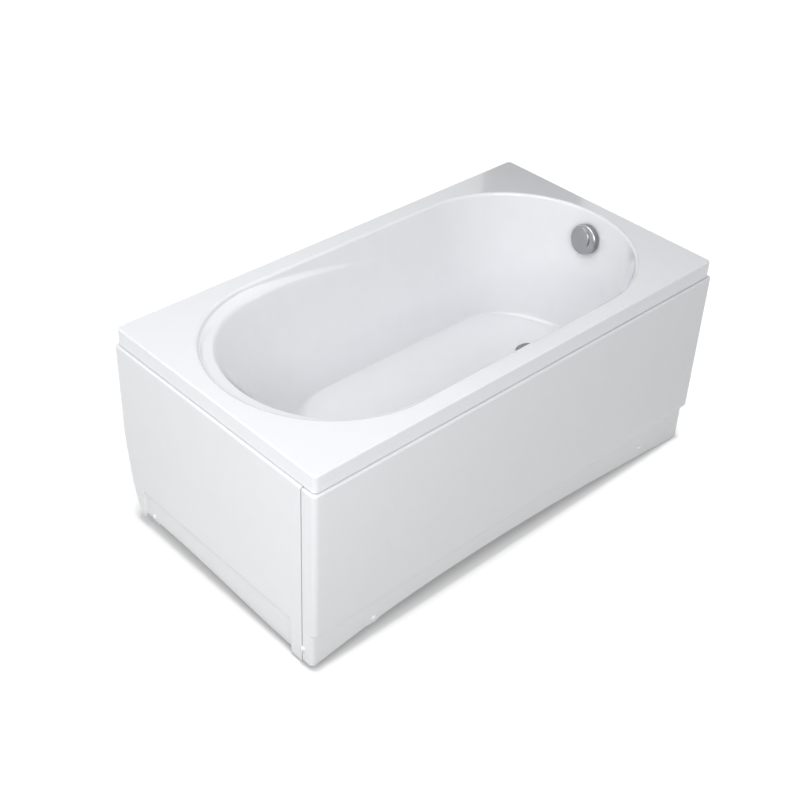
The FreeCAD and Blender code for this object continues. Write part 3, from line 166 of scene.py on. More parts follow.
class BathtubFittings(bpy.types.PropertyGroup):
    """Sizes of the waste, the overflow, the hose and the feet."""

    waste_end: length("Waste place", "Distance of the waste from the waste end", 250)
    flange: length("Flange", "Diameter of the waste flange", 70)
    dish: length("Dish", "Depth of the seat of the flange", 3)
    dish_gap: length("Dish gap", "Gap round the flange", 2)
    crown: length("Crown", "How far the flange stands over the floor", 0.6)
    hole: length("Hole", "Diameter of the hole in the floor", 52)
    boss: length("Boss", "Diameter of the boss under the floor", 90)
    boss_depth: length("Boss depth", "Depth of the boss under the floor's top", 10)
    tube: length("Waste tube", "Diameter of the flange's tube", 48)
    tube_wall: length("Tube wall", "Wall of the flange's tube", 3)
    tube_length: length("Tube length", "Length of the flange's tube", 32)
    spider_drop: length("Spider drop", "Depth of the stem guide", 19)
    spider_height: length("Spider height", "Height of the stem guide", 5)
    spider_arm: length("Spider arm", "Width of the guide's arms", 4)
    spider_hub: length("Spider hub", "Diameter of the guide's hub", 12)
    stem: length("Stem", "Diameter of the plug's stem", 6)
    plug: length("Plug", "Diameter of the plug", 62)
    plug_height: length("Plug height", "Height of the plug", 6)
    seal: length("Seal", "Height of the plug's seal", 2.5)
    overflow_drop: length("Overflow drop", "Depth of the overflow under the deck", 72)
    overflow_hole: length("Overflow hole", "Diameter of the overflow's hole", 54)
    overflow_seat: length("Overflow seat", "Diameter of the flat seat", 66)
    seat_cut: length("Seat cut", "Depth of the flat seat", 0.5)
    overflow_boss: length("Overflow boss", "Diameter of the boss behind the wall", 74)
    overflow_boss_depth: length("Overflow boss depth", "Depth of that boss", 10)
    knob: length("Knob", "Diameter of the overflow knob", 82)
    knob_gap: length("Knob gap", "Gap between the wall and the knob", 5)
    knob_height: length("Knob height", "Height of the knob", 19)
    knob_edge: length("Knob edge", "Radius of the knob's edge", 4)
    knob_wall: length("Knob wall", "Wall of the knob", 5)
    grip_length: length("Grip length", "Length of the leaf-shaped grip", 59)
    grip_width: length("Grip width", "Width of the grip", 34)
    grip_height: length("Grip height", "Height of the grip", 4)
    grip_shift: length("Grip shift", "How far the grip sits above the knob's middle", 12)
    grip_angle: turn_angle("Grip angle", "Turn of the grip", 44)
    shaft: length("Shaft", "Diameter of the knob's shaft", 12)
    hose: length("Hose", "Diameter of the overflow hose", 27)
    hose_bore: length("Hose bore", "Bore of the overflow hose", 22)
    hose_inset: length("Hose inset", "Distance of the hose from the waste end", 28)
    hose_drop: length("Hose drop", "Drop from the overflow to the hose", 55)
    hose_bend: length("Hose bend", "Radius of the hose's bend", 80)
    port_reach: length("Port reach", "Length of the waste's side port", 70)
    port_drop: length("Port drop", "Depth of the port under the floor's top", 58)
    rib_pitch: length("Rib pitch", "Distance between the hose's ribs", 5.2)
    rib_depth: length("Rib depth", "Depth of the grooves between the ribs", 1.2)
    stud: length("Stud", "Diameter of a foot's stud", 12)
    thread_pitch: length("Thread pitch", "Pitch of a foot's thread", 1.75)
    thread_depth: length("Thread depth", "Depth of a foot's thread", 0.55)


class BathtubFinishes(bpy.types.PropertyGroup):
    """Colours of the finishes."""

    acrylic: colour("Acrylic", "Colour of the moulded shell", (0.856, 0.867, 0.886))
    panel: colour("Panels", "Colour of the panels", (0.832, 0.846, 0.862))
    backing: colour("Backing", "Colour of the resin backing", (0.70, 0.685, 0.60))
    chrome: colour("Chrome", "Colour of the plated fittings", (0.47, 0.478, 0.488))
    # Darker chrome is painted shade: it stands in for the shade on the knob's side facing the wall and down
    # in the drain.
    dark_chrome: colour("Dark chrome", "Colour of the knob's side and the waste", (0.27, 0.275, 0.285))
    powder: colour("Powder coat", "Colour of the steel frame", (0.58, 0.60, 0.62))
    zinc: colour("Zinc", "Colour of the plated steel", (0.62, 0.64, 0.67))
    pine: colour("Pine", "Colour of the battens", (0.56, 0.38, 0.20))
    board: colour("Board", "Colour of the floor board", (0.50, 0.36, 0.21))
    rubber: colour("Rubber", "Colour of pads and gaskets", (0.022, 0.023, 0.025))
    pipe: colour("Pipe", "Colour of the plastic pipework", (0.74, 0.75, 0.75))
    hose: colour("Hose", "Colour of the overflow hose", (0.30, 0.31, 0.33))
    cap: colour("Caps", "Colour of the screw caps", (0.93, 0.94, 0.95))


class BathtubStage(bpy.types.PropertyGroup):
    """Camera, light and floor."""

    camera: FloatVectorProperty(name="Camera", description="Place of the camera", size=3, unit="LENGTH",
                                default=(-2.00266, -1.95736, 2.32939))
    azimuth: turn_angle("Azimuth", "Side from which the camera looks", -44.492)
    elevation: turn_angle("Elevation", "Height of the view", 36.7923)
    roll: turn_angle("Roll", "Roll of the camera", 2.5345)
    lens: number("Lens", "Focal length in millimetres on a 36 mm sensor", 62.2143)
    top_light: number("Top light", "Power of the overhead softbox in watts", 23.5)
    near_light: number("Near light", "Power of the softbox beside the camera in watts", 44.7)
    head_light: number("Head light", "Power of the low softbox at the head end in watts", 8.9)
    corner_light: number("Corner light", "Power of the low softbox at the near corner in watts", 3.4)
    ambient: number("Ambient", "Strength of the light all round", 0.282)
    studio: colour("Studio", "Colour of the surroundings", (0.97, 0.985, 1.0))
    floor_light: number("Floor light", "Strength of the lamp over the floor", 1.7)
    floor_fill: number("Floor fill", "Strength of the slanting lamp on the floor", 1.9)
    floor_pale: number("Floor paleness", "How pale the floor is to the camera", 0.86)
    floor_bounce: number("Floor bounce", "How much light the floor throws back up", 0.255)
    floor_glow: number("Floor glow", "Light that the floor gives off to the camera", 0.08)
    floor_size: length("Floor size", "Side of the pale floor", 14000)
    segments: IntProperty(name="Segments", description="Steps round a turned piece", default=72, min=12)


# ------------------------------------------------------------- tools for the pieces
def mix(a, b, t):
    return a + (b - a) * t


def spread(first, last, count):
    """Evenly spaced values from the first to the last, in that many steps."""
    return [mix(first, last, i / count) for i in range(count + 1)]


def round_edge(radius, count):
    """Insets and drops over a round edge, from the flat on to the side."""
    return [(radius * (1 - math.sin(a)), radius * (1 - math.cos(a))) for a in spread(0, QUARTER, count)]


def placed(name, mesh):
    """Turn a bmesh into an object of the scene."""
    data = bpy.data.meshes.new(name)
    mesh.to_mesh(data)
    mesh.free()
    thing = bpy.data.objects.new(name, data)
    bpy.context.scene.collection.objects.link(thing)
    return thing


def add_piece(name, mesh, body, materials, replaced=()):
    """Turn a bmesh into a piece that rides on a body and stands for CAD nodes."""
    piece = placed(name, mesh)
    for material in materials:
        piece.data.materials.append(material)
    piece.data.shade_smooth()
    piece.data.set_sharp_from_angle(angle=SMOOTH_ANGLE)
    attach(piece, body)
    if replaced:
        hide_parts(*replaced)
    return piece


def laid_sheet(rows):
    """A sheet through rows of points: a grid whose corners are moved into place."""
    mesh = bmesh.new()
    bmesh.ops.create_grid(mesh, x_segments=len(rows[0]) - 1, y_segments=len(rows) - 1, size=1)
    places = [point for row in rows for point in row]
    for vertex, place in zip(mesh.verts, places):
        vertex.co = place
    return mesh


def weld(mesh, distance=0.00001):
    """Join doubled corners and turn the faces outwards."""
    bmesh.ops.remove_doubles(mesh, verts=mesh.verts, dist=distance)
    bmesh.ops.dissolve_degenerate(mesh, edges=mesh.edges, dist=distance / 2)
    bmesh.ops.recalc_face_normals(mesh, faces=mesh.faces)
    return mesh


def turned(outline, steps):
    """Spin an outline of (radius, height) points about the Z axis."""
    mesh = bmesh.new()
    corners = [mesh.verts.new((radius, 0, height)) for radius, height in outline]
    edges = [mesh.edges.new(pair) for pair in zip(corners, corners[1:])]
    if outline[0][0] > 0:
        edges.append(mesh.edges.new((corners[-1], corners[0])))
    bmesh.ops.spin(mesh, geom=corners + edges, cent=(0, 0, 0), axis=(0, 0, 1), angle=2 * math.pi,
                   steps=steps, use_merge=True)
    return weld(mesh)


def rounded(centre, radius, start, end, count):
    """Points of an arc in the outline's plane, between two angles in degrees."""
    turns = [math.radians(degrees) for degrees in spread(start, end, count)]
    return [(centre[0] + radius * math.cos(a), centre[1] + radius * math.sin(a)) for a in turns]


def ring_tube(centres, frames, radii, sides):
    """A closed tube through rings: each has a centre, two directions and a radius."""
    turns = spread(0, 2 * math.pi, sides)
    rows = [[centre + (across * math.cos(a) + upward * math.sin(a)) * radius for a in turns]
            for centre, (across, upward), radius in zip(centres, frames, radii)]
    return weld(laid_sheet(rows))


def moved(mesh, matrix):
    bmesh.ops.transform(mesh, matrix=matrix, verts=mesh.verts)
    return mesh


def join(target, other):
    """Add a second bmesh to the first."""
    carrier = bpy.data.meshes.new("carrier")
    other.to_mesh(carrier)
    other.free()
    target.from_mesh(carrier)
    bpy.data.meshes.remove(carrier)
    return target


def block(low, high):
    mesh = bmesh.new()
    bmesh.ops.create_cube(mesh, size=1)
    size = Vector(high) - Vector(low)
    bmesh.ops.scale(mesh, vec=size, verts=mesh.verts)
    bmesh.ops.translate(mesh, vec=(Vector(high) + Vector(low)) / 2, verts=mesh.verts)
    return mesh


def cut_away(piece, cutters):
    """Take the space of some meshes out of a piece."""
    tools = [placed("cutter", mesh) for mesh in cutters]
    for tool in tools:
        modifier = piece.modifiers.new("cut", "BOOLEAN")
        modifier.operation = "DIFFERENCE"
        modifier.solver = "EXACT"
        modifier.object = tool
    bpy.context.view_layer.update()
    shaped = bpy.data.meshes.new_from_object(piece.evaluated_get(bpy.context.evaluated_depsgraph_get()))
    piece.modifiers.clear()
    old, piece.data = piece.data, shaped
    bpy.data.meshes.remove(old)
    for tool in tools:
        data = tool.data
        bpy.data.objects.remove(tool)
        bpy.data.meshes.remove(data)


# ------------------------------------------------------------------- the finishes
def new_material(name):
    """A node material, its tree and its shader."""
    material = bpy.data.materials.new(name)
    material.use_nodes = True
    return material, material.node_tree, material.node_tree.nodes["Principled BSDF"]


def object_space(tree):
    return tree.nodes.new("ShaderNodeTexCoord").outputs["Object"]


def noise(tree, vector, scale, detail=3.0, roughness=0.5):
    node = tree.nodes.new("ShaderNodeTexNoise")
    node.inputs["Scale"].default_value = scale
    node.inputs["Detail"].default_value = detail
    node.inputs["Roughness"].default_value = roughness
    tree.links.new(vector, node.inputs["Vector"])
    return node.outputs["Fac"]


def cells(tree, vector, scale, feature="F1"):
    node = tree.nodes.new("ShaderNodeTexVoronoi")
    node.feature = feature
    node.inputs["Scale"].default_value = scale
    tree.links.new(vector, node.inputs["Vector"])
    return node.outputs


def ramp(tree, value, low, high, to_low=0.0, to_high=1.0):
    """Stretch the part of a value between low and high over a new range."""
    node = tree.nodes.new("ShaderNodeMapRange")
    for label, limit in (("From Min", low), ("From Max", high), ("To Min", to_low), ("To Max", to_high)):
        node.inputs[label].default_value = limit
    tree.links.new(value, node.inputs["Value"])
    return node.outputs["Result"]


def math_node(tree, operation, first, second):
    node = tree.nodes.new("ShaderNodeMath")
    node.operation = operation
    for socket, value in zip(node.inputs, (first, second)):
        if isinstance(value, (int, float)):
            socket.default_value = value
        else:
            tree.links.new(value, socket)
    return node.outputs[0]


def tint(tree, factor, first, second):
    """Mix two colours by a factor."""
    node = tree.nodes.new("ShaderNodeMix")
    node.data_type = "RGBA"
    node.inputs["A"].default_value = (*first, 1)
    node.inputs["B"].default_value = (*second, 1)
    tree.links.new(factor, node.inputs["Factor"])
    return node.outputs["Result"]


def stretched(tree, vector, scale):
    node = tree.nodes.new("ShaderNodeMapping")
    node.inputs["Scale"].default_value = scale
    tree.links.new(vector, node.inputs["Vector"])
    return node.outputs["Vector"]


def make_group(name, build):
    """A node group whose outputs are made by build, once for the whole file."""
    tree = bpy.data.node_groups.get(name)
    if tree is None:
        tree = bpy.data.node_groups.new(name, "ShaderNodeTree")
        out = tree.nodes.new("NodeGroupOutput")
        for label, socket in build(tree).items():
            tree.interface.new_socket(name=label, in_out="OUTPUT", socket_type="NodeSocketFloat")
            tree.links.new(socket, out.inputs[label])
    return tree


def slow_ripple(tree):
    """The faint unevenness of a large formed sheet, and where it was wiped."""
    place = object_space(tree)
    broad = noise(tree, place, scale=3.1, detail=1.0)
    middle = noise(tree, place, scale=11.0, detail=2.0)
    wiped = noise(tree, stretched(tree, place, (2.0, 5.0, 3.0)), scale=4.0, detail=4.0, roughness=0.6)
    return {"Height": math_node(tree, "ADD", broad, math_node(tree, "MULTIPLY", middle, 0.18)),
            "Wiped": ramp(tree, wiped, low=0.40, high=0.66)}


def fine_grain(tree):
    """Dust-sized speckle and a cloudier, hand-sized variation."""
    place = object_space(tree)
    return {"Speckle": noise(tree, place, scale=900.0, detail=2.0),
            "Cloud": noise(tree, place, scale=22.0, detail=4.0, roughness=0.6)}


def use_group(tree, name, build):
    node = tree.nodes.new("ShaderNodeGroup")
    node.node_tree = make_group(name, build)
    return node.outputs


def bump(tree, shader, height, strength, distance):
    node = tree.nodes.new("ShaderNodeBump")
    node.inputs["Strength"].default_value = strength
    node.inputs["Distance"].default_value = distance
    tree.links.new(height, node.inputs["Height"])
    tree.links.new(node.outputs["Normal"], shader.inputs["Normal"])


def paint(tree, shader, factor, first, second):
    """Let a pattern mix the colour of a shader."""
    tree.links.new(tint(tree, factor, first, second), shader.inputs["Base Color"])


def roughen(tree, shader, factor, smooth, rough):
    """Let a pattern from 0 to 1 set the roughness of a shader."""
    tree.links.new(ramp(tree, factor, 0, 1, smooth, rough), shader.inputs["Roughness"])


def finish(name, build, **constants):
    """A material made once, with its plain numbers on the shader and its pattern from build."""
    material = bpy.data.materials.get(name)
    if material is None:
        material, tree, shader = new_material(name)
        for label, value in constants.items():
            shader.inputs[label.replace("_", " ").title().replace("Ior", "IOR")].default_value = value
        build(tree, shader)
        material.diffuse_color = tuple(shader.inputs["Base Color"].default_value)
    return material


def chosen(name):
    """One of the colours in the settings."""
    return tuple(getattr(bpy.context.scene.bathtub_finishes, name))


def shade(rgb, factor):
    return tuple(min(1.0, channel * factor) for channel in rgb)


def formed_sheet(base, gloss, ripple_depth):
    """Gloss sheet plastic: clean, faintly uneven, with soft marks from wiping."""
    wiping, dust = 0.07, 0.012

    def build(tree, shader):
        shader.inputs["Base Color"].default_value = (*base, 1)
        ripple = use_group(tree, "slow ripple", slow_ripple)
        grain = use_group(tree, "fine grain", fine_grain)
        paint(tree, shader, ramp(tree, grain["Cloud"], low=0.35, high=0.7), base, shade(base, 0.985))
        marks = ramp(tree, ripple["Wiped"], 0.0, 1.0, to_low=gloss, to_high=gloss + wiping)
        speckle = ramp(tree, grain["Speckle"], 0.3, 0.7, to_low=-dust, to_high=dust)
        tree.links.new(math_node(tree, "ADD", marks, speckle), shader.inputs["Roughness"])
        bump(tree, shader, ripple["Height"], strength=0.5, distance=ripple_depth)
    return build


def shell_gloss():
    sheet = formed_sheet(chosen("acrylic"), gloss=0.10, ripple_depth=0.0012)
    return finish("shell_gloss_acrylic", sheet, coat_weight=0.6, coat_roughness=0.04, ior=1.49)


def panel_gloss():
    sheet = formed_sheet(chosen("panel"), gloss=0.13, ripple_depth=0.0025)
    return finish("panel_gloss_sheet", sheet, coat_weight=0.4, coat_roughness=0.06, ior=1.49)


def resin_backing():
    """Rolled-on resin and chopped strands on the back of the shell."""
    base = chosen("backing")

    def build(tree, shader):
        place = object_space(tree)
        warped = stretched(tree, place, (1.0, 2.4, 1.4))
        strands = cells(tree, warped, scale=46.0, feature="DISTANCE_TO_EDGE")
        fibre = ramp(tree, strands["Distance"], low=0.0, high=0.12)
        rolled = noise(tree, place, scale=60.0, detail=5.0, roughness=0.65)
        wet = ramp(tree, noise(tree, place, scale=7.0), low=0.35, high=0.65)
        paint(tree, shader, wet, base, shade(base, 0.78))
        roughen(tree, shader, wet, 0.62, 0.36)
        height = math_node(tree, "ADD", rolled, math_node(tree, "MULTIPLY", fibre, 0.4))
        bump(tree, shader, height, strength=0.7, distance=0.0016)
    return finish("shell_resin_backing", build)


def plated_chrome(colour_name="chrome"):
    base = chosen(colour_name)

    def build(tree, shader):
        grain = use_group(tree, "fine grain", fine_grain)
        smudge = ramp(tree, grain["Cloud"], low=0.38, high=0.70)
        paint(tree, shader, smudge, base, shade(base, 0.93))
        roughen(tree, shader, smudge, 0.16, 0.27)
        bump(tree, shader, grain["Speckle"], strength=0.06, distance=0.0002)
    return finish("plated_" + colour_name, build, metallic=1.0)


def powder_coat():
    base = chosen("powder")

    def build(tree, shader):
        place = object_space(tree)
        peel = noise(tree, place, scale=420.0, detail=2.0, roughness=0.4)
        dust = ramp(tree, noise(tree, place, scale=9.0, detail=4.0), low=0.42, high=0.68)
        paint(tree, shader, dust, base, shade(base, 0.9))
        roughen(tree, shader, dust, 0.36, 0.5)
        bump(tree, shader, peel, strength=0.3, distance=0.0004)
    return finish("powder_coated_steel", build)


def zinc_plate():
    base = chosen("zinc")

    def build(tree, shader):
        crystal = cells(tree, object_space(tree), scale=160.0)
        flake = ramp(tree, crystal["Distance"], low=0.0, high=0.8)
        paint(tree, shader, flake, shade(base, 1.08), shade(base, 0.82))
        roughen(tree, shader, flake, 0.28, 0.44)
        bump(tree, shader, flake, strength=0.12, distance=0.0002)
    return finish("zinc_plated_steel", build, metallic=1.0)


def sawn_pine(along):
    """Pine with its grain along X or Y."""
    base = chosen("pine")
    lengthwise, crosswise, fineness = 1.3, 26.0, 12.0

    def build(tree, shader):
        place = object_space(tree)
        scale = (lengthwise, crosswise, crosswise) if along == "x" else (crosswise, lengthwise, crosswise)
        rings = tree.nodes.new("ShaderNodeTexWave")
        rings.wave_type = "BANDS"
        rings.bands_direction = "Z"
        rings.inputs["Scale"].default_value = 1.6
        rings.inputs["Distortion"].default_value = 5.0
        rings.inputs["Detail"].default_value = 3.0
        tree.links.new(stretched(tree, place, scale), rings.inputs["Vector"])
        fine = stretched(tree, place, tuple(fineness * share for share in scale))
        fibres = noise(tree, fine, scale=2.0, detail=4.0, roughness=0.7)
        late = ramp(tree, rings.outputs["Fac"], low=0.45, high=0.95)
        paint(tree, shader, late, shade(base, 1.22), shade(base, 0.72))
        tree.links.new(ramp(tree, fibres, 0.3, 0.7, 0.62, 0.82), shader.inputs["Roughness"])
        bump(tree, shader, fibres, strength=0.5, distance=0.0005)
    return finish("sawn_pine_" + along, build)


def chip_board():
    base = chosen("board")

    def build(tree, shader):
        chips = cells(tree, stretched(tree, object_space(tree), (1.0, 2.2, 1.0)), scale=150.0)
        value = tree.nodes.new("ShaderNodeSeparateColor")
        tree.links.new(chips["Color"], value.inputs["Color"])
        paint(tree, shader, value.outputs["Red"], shade(base, 1.3), shade(base, 0.68))
        roughen(tree, shader, value.outputs["Green"], 0.7, 0.88)
        bump(tree, shader, chips["Distance"], strength=0.4, distance=0.0005)
    return finish("pressed_chip_board", build)


def moulded(name, base, roughness, depth=0.0003):
    """Moulded plastic or rubber with a fine skin."""
    def build(tree, shader):
        grain = use_group(tree, "fine grain", fine_grain)
        cloud = ramp(tree, grain["Cloud"], low=0.35, high=0.7)
        paint(tree, shader, cloud, base, shade(base, 0.88))
        roughen(tree, shader, cloud, roughness, roughness + 0.12)
        bump(tree, shader, grain["Speckle"], strength=0.35, distance=depth)
    return finish(name, build)


def black_rubber():
    return moulded("black_rubber", chosen("rubber"), roughness=0.62, depth=0.0005)


def pipe_plastic():
    return moulded("white_pipe_plastic", chosen("pipe"), roughness=0.34)


def hose_plastic():
    return moulded("grey_hose_plastic", chosen("hose"), roughness=0.42)


def cap_plastic():
    return moulded("white_cap_plastic", chosen("cap"), roughness=0.26)


# ------------------------------------------------------------------ the shell
END_STEPS = 26
SIDE_STEPS = 26
CORNER_STEPS = 6
CORNER_CLEAR = math.radians(0.8)
LIP_TURN = 85
LIP_STEPS = 8
EASE_ROUNDS = 2
FILLET_STEPS = 12
EDGE_STEPS = 6
HEM_STEPS = 3
# Rows of faces down the wall and over the floor, as shares of the way.
UNDER_NOSE = 0.06
WALL_SHARES = (0.3, 0.55, 0.8)
FLOOR_SHARES = (0.3, 0.6, 0.97)
# Rows laid close beside a round edge, so that the flat next to it shades flat.
GUARD = 1.2 * MM
DISH_GUARD = 8 * MM
# Radius of the eased lower edge of the skirt.
HEM = 0.8 * MM


class Station:
    """One place round the opening: the lip, the foot of the wall and the way out."""

    def __init__(self, basin, centre_x, lip, outward, foot, fillet, fade):
        self.centre = Vector((centre_x, 0, 0))
        self.lip = Vector((lip[0], lip[1], basin.rim_height))
        self.outward = Vector((outward[0], outward[1], 0))
        self.foot = Vector((foot[0], foot[1], floor_height(basin, foot[0])))
        self.end_share = outward[0] ** 2
        self.fillet = fillet
        self.fade = fade


def waste_place(basin):
    return basin.rim_length / 2 - bpy.context.scene.bathtub_fittings.waste_end


def floor_height(basin, x):
    return basin.rim_height - basin.floor_depth - basin.floor_fall * (x - waste_place(basin))


def end_turns(basin, straight):
    """Angles from the middle of an end to its side, with extra ones at the rim's corner."""
    reach_x, reach_y = basin.rim_length / 2 - straight, basin.rim_width / 2
    low = math.atan2(reach_y - basin.corner, reach_x)
    high = math.atan2(reach_y, reach_x - basin.corner)
    plain = [a for a in spread(0, QUARTER, END_STEPS) if a < low - CORNER_CLEAR or a > high + CORNER_CLEAR]
    return sorted(spread(low, high, CORNER_STEPS) + plain)


def basin_stations(basin):
    """All the places round the opening."""
    opening = basin.rim_width / 2 - basin.deck_side
    straight = basin.rim_length / 2 - basin.deck_end - opening
    half_floor = opening - basin.side_slope
    head_centre = -basin.rim_length / 2 + basin.deck_end + basin.head_slope + basin.head_reach
    waste_centre = basin.rim_length / 2 - basin.deck_end - basin.waste_slope - basin.waste_reach
    turns = end_turns(basin, straight)
    around = [-a for a in reversed(turns)] + turns[1:]
    along = spread(0, 1, SIDE_STEPS)[:-1]

    def end(side, angle, centre, reach, fillet, fade):
        nx, ny = side * math.cos(angle), math.sin(angle)
        fillet = mix(basin.fillet_side, fillet, nx * nx)
        return Station(basin, side * straight, (side * straight + opening * nx, opening * ny), (nx, ny),
                       (centre + reach * nx, half_floor * ny), fillet, fade)

    def side(share, way):
        x = mix(-straight, straight, share)
        return Station(basin, x, (x, way * opening), (0, way),
                       (mix(head_centre, waste_centre, share), way * half_floor), basin.fillet_side, share)

    ring = [end(-1, a, head_centre, basin.head_reach, basin.fillet_head, 0.0) for a in around[:-1]]
    ring += [side(share, 1) for share in along]
    ring += [end(1, -a, waste_centre, basin.waste_reach, basin.fillet_waste, 1.0) for a in around[:-1]]
    ring += [side(1 - share, -1) for share in along]
    return ring


def wall_inset(basin, station, depth):
    """How far the plain wall has leaned in at some depth."""
    reach = (station.lip - station.foot).dot(station.outward)
    drop = basin.rim_height - station.foot.z
    return basin.lip + (depth - basin.lip) * (reach - basin.lip) / (drop - basin.lip)


def ledge_line(basin, station):
    """Insets and depths over the ledge, which fades into the plain wall."""
    start = mix(basin.ledge_start_side, basin.ledge_start_head, station.end_share)
    end = mix(basin.ledge_end_side, basin.ledge_end_head, station.end_share)
    top = basin.ledge_drop + basin.ledge_fade_drop * station.fade ** basin.ledge_fade_curve
    relief = (1 - station.fade) ** basin.ledge_fade_power
    low = top + basin.ledge_fall
    brow = low + basin.ledge_ease
    cove, nose = basin.ledge_cove, basin.ledge_nose
    shape = [(start - cove, top - cove), (start + cove, top), (end - nose, low), (end, brow),
             (end + nose, brow + nose)]
    return [(mix(wall_inset(basin, station, depth), inset, relief), depth) for inset, depth in shape]


def eased(points, rounds):
    """Cut the corners of a line of points, keeping its ends."""
    for _ in range(rounds):
        cut = [points[0]]
        for first, second in zip(points, points[1:]):
            cut += [first.lerp(second, 0.25), first.lerp(second, 0.75)]
        points = cut + [points[-1]]
    return points


def inside_line(basin, station):
    """Points down the inside, from the crown of the lip to the edge of the flat floor."""
    down = Vector((0, 0, -1))

    def spot(inset, depth):
        return station.lip - station.outward * inset + down * depth

    turns = [math.radians(degrees) for degrees in spread(0, LIP_TURN, LIP_STEPS)]
    lip = [spot(basin.lip * math.sin(a), basin.lip * (1 - math.cos(a))) for a in turns]
    ledge = [spot(inset, depth) for inset, depth in ledge_line(basin, station)]
    top = ledge[-1]
    run = Vector((station.foot.x - top.x, station.foot.y - top.y, 0))
    drop = top.z - station.foot.z
    slope = math.atan2(drop, run.length)
    heading = run.normalized()
    fillet = station.fillet
    straight = 1 - fillet * math.tan(slope / 2) / math.hypot(run.length, drop)
    entry = top + heading * (run.length * straight) + down * (drop * straight)
    soft = eased([lip[-1]] + ledge + [top.lerp(entry, UNDER_NOSE)], EASE_ROUNDS)
    wall = [top.lerp(entry, share) for share in WALL_SHARES]
    centre = entry + heading * (fillet * math.sin(slope)) - down * (fillet * math.cos(slope))
    arc = [centre - heading * (fillet * math.sin(turn)) + down * (fillet * math.cos(turn))
           for turn in spread(slope, 0, FILLET_STEPS)]
    arc[-1].z = floor_height(basin, arc[-1].x)
    return lip + soft[1:] + wall + arc


def outside_line(basin, inner):
    """The same line moved out through the thickness of the shell."""
    points = [inner[0] + Vector((0, 0, -basin.wall))]
    for before, here, after in zip(inner, inner[1:], inner[2:]):
        step = (after - before).normalized()
        flat = Vector((step.x, step.y, 0))
        heading = flat.normalized() if flat.length > 0.01 else (inner[-1] - inner[0]).normalized()
        points.append(here + (heading * step.z + Vector((0, 0, -1)) * flat.length) * basin.wall)
    points.append(inner[-1] + Vector((0, 0, -basin.wall)))
    return points


def rim_place(basin, station, inset, height):
    """Where the line out of the basin meets the rim's outline, with its round corners."""
    heading = station.outward
    half_x, half_y = basin.rim_length / 2, basin.rim_width / 2
    reach = math.inf
    if abs(heading.x) > TINY:
        reach = (half_x - inset - abs(station.centre.x)) / abs(heading.x)
    if abs(heading.y) > TINY:
        reach = min(reach, (half_y - inset) / abs(heading.y))
    hit = station.centre + heading * reach
    side_x, side_y = math.copysign(1, hit.x), math.copysign(1, hit.y)
    corner = Vector((side_x * (half_x - basin.corner), side_y * (half_y - basin.corner), 0))
    radius = basin.corner - inset
    if radius > 0 and abs(hit.x) > abs(corner.x) and abs(hit.y) > abs(corner.y):
        away = station.centre - corner
        along = away.dot(heading)
        root = along * along - (away.length_squared - radius * radius)
        if root > 0:
            hit = station.centre + heading * (math.sqrt(root) - along)
    return Vector((hit.x, hit.y, height))


def shell_line(basin, fittings, station):
    """One closed section of the shell, and where its hidden back begins."""
    drain = Vector((waste_place(basin), 0, 0))
    aim = Vector((station.foot.x - drain.x, station.foot.y, 0)).normalized()
    floor = floor_height(basin, drain.x)
    seat = floor - fittings.dish
    base = floor - fittings.boss_depth
    hole, boss = fittings.hole / 2, fittings.boss / 2
    dish = fittings.flange / 2 + fittings.dish_gap
    top, edge, wall = basin.rim_height, basin.edge, basin.wall
    bottom = top - basin.skirt

    def round_drain(radius, height):
        return drain + aim * radius + Vector((0, 0, height))

    def on_floor(radius, lower=0.0):
        spot = round_drain(radius, 0)
        spot.z = floor_height(basin, spot.x) - lower
        return spot

    def on_rim(inset, height):
        return rim_place(basin, station, inset, height)

    inner = inside_line(basin, station)
    outer = outside_line(basin, inner)
    beside = on_floor(dish + DISH_GUARD)
    line = [round_drain(hole, seat), round_drain(dish, seat), on_floor(dish), on_floor(dish + MM), beside]
    line += [beside.lerp(inner[-1], share) for share in FLOOR_SHARES]
    line += reversed(inner)
    rim = on_rim(0, top)
    line += [rim.lerp(inner[0], 1 - GUARD / (rim - inner[0]).length), on_rim(edge + GUARD, top)]
    line += [on_rim(inset, top - drop) for inset, drop in round_edge(edge, EDGE_STEPS)]
    line += [on_rim(0, top - edge - GUARD), on_rim(0, bottom + 2 * HEM)]
    line += [on_rim(inset, bottom + lift) for lift, inset in round_edge(HEM, HEM_STEPS)]
    line.append(on_rim(wall, bottom))
    hidden = len(line) - 1
    line += [on_rim(wall, bottom + MM), on_rim(wall, top - wall)]
    line += outer
    boss_edge = on_floor(boss, wall)
    line += [outer[-1].lerp(boss_edge, 0.5), boss_edge, round_drain(boss, base), round_drain(hole, base),
             round_drain(hole, seat)]
    return line, hidden


def overflow_matrix(basin, fittings):
    """Place and turn of the overflow, on the slope of the waste-end wall."""
    station = max(basin_stations(basin), key=lambda place: place.outward.x)
    inset = wall_inset(basin, station, fittings.overflow_drop)
    steep = (wall_inset(basin, station, fittings.overflow_drop + MM) - inset) / MM
    centre = Vector((station.lip.x - inset, 0, basin.rim_height - fittings.overflow_drop))
    return Matrix.Translation(centre) @ Matrix.Rotation(math.atan(steep) - QUARTER, 4, "Y")


def disc(radius, low, high, steps):
    return turned([(0, low), (radius, low), (radius, high), (0, high)], steps)


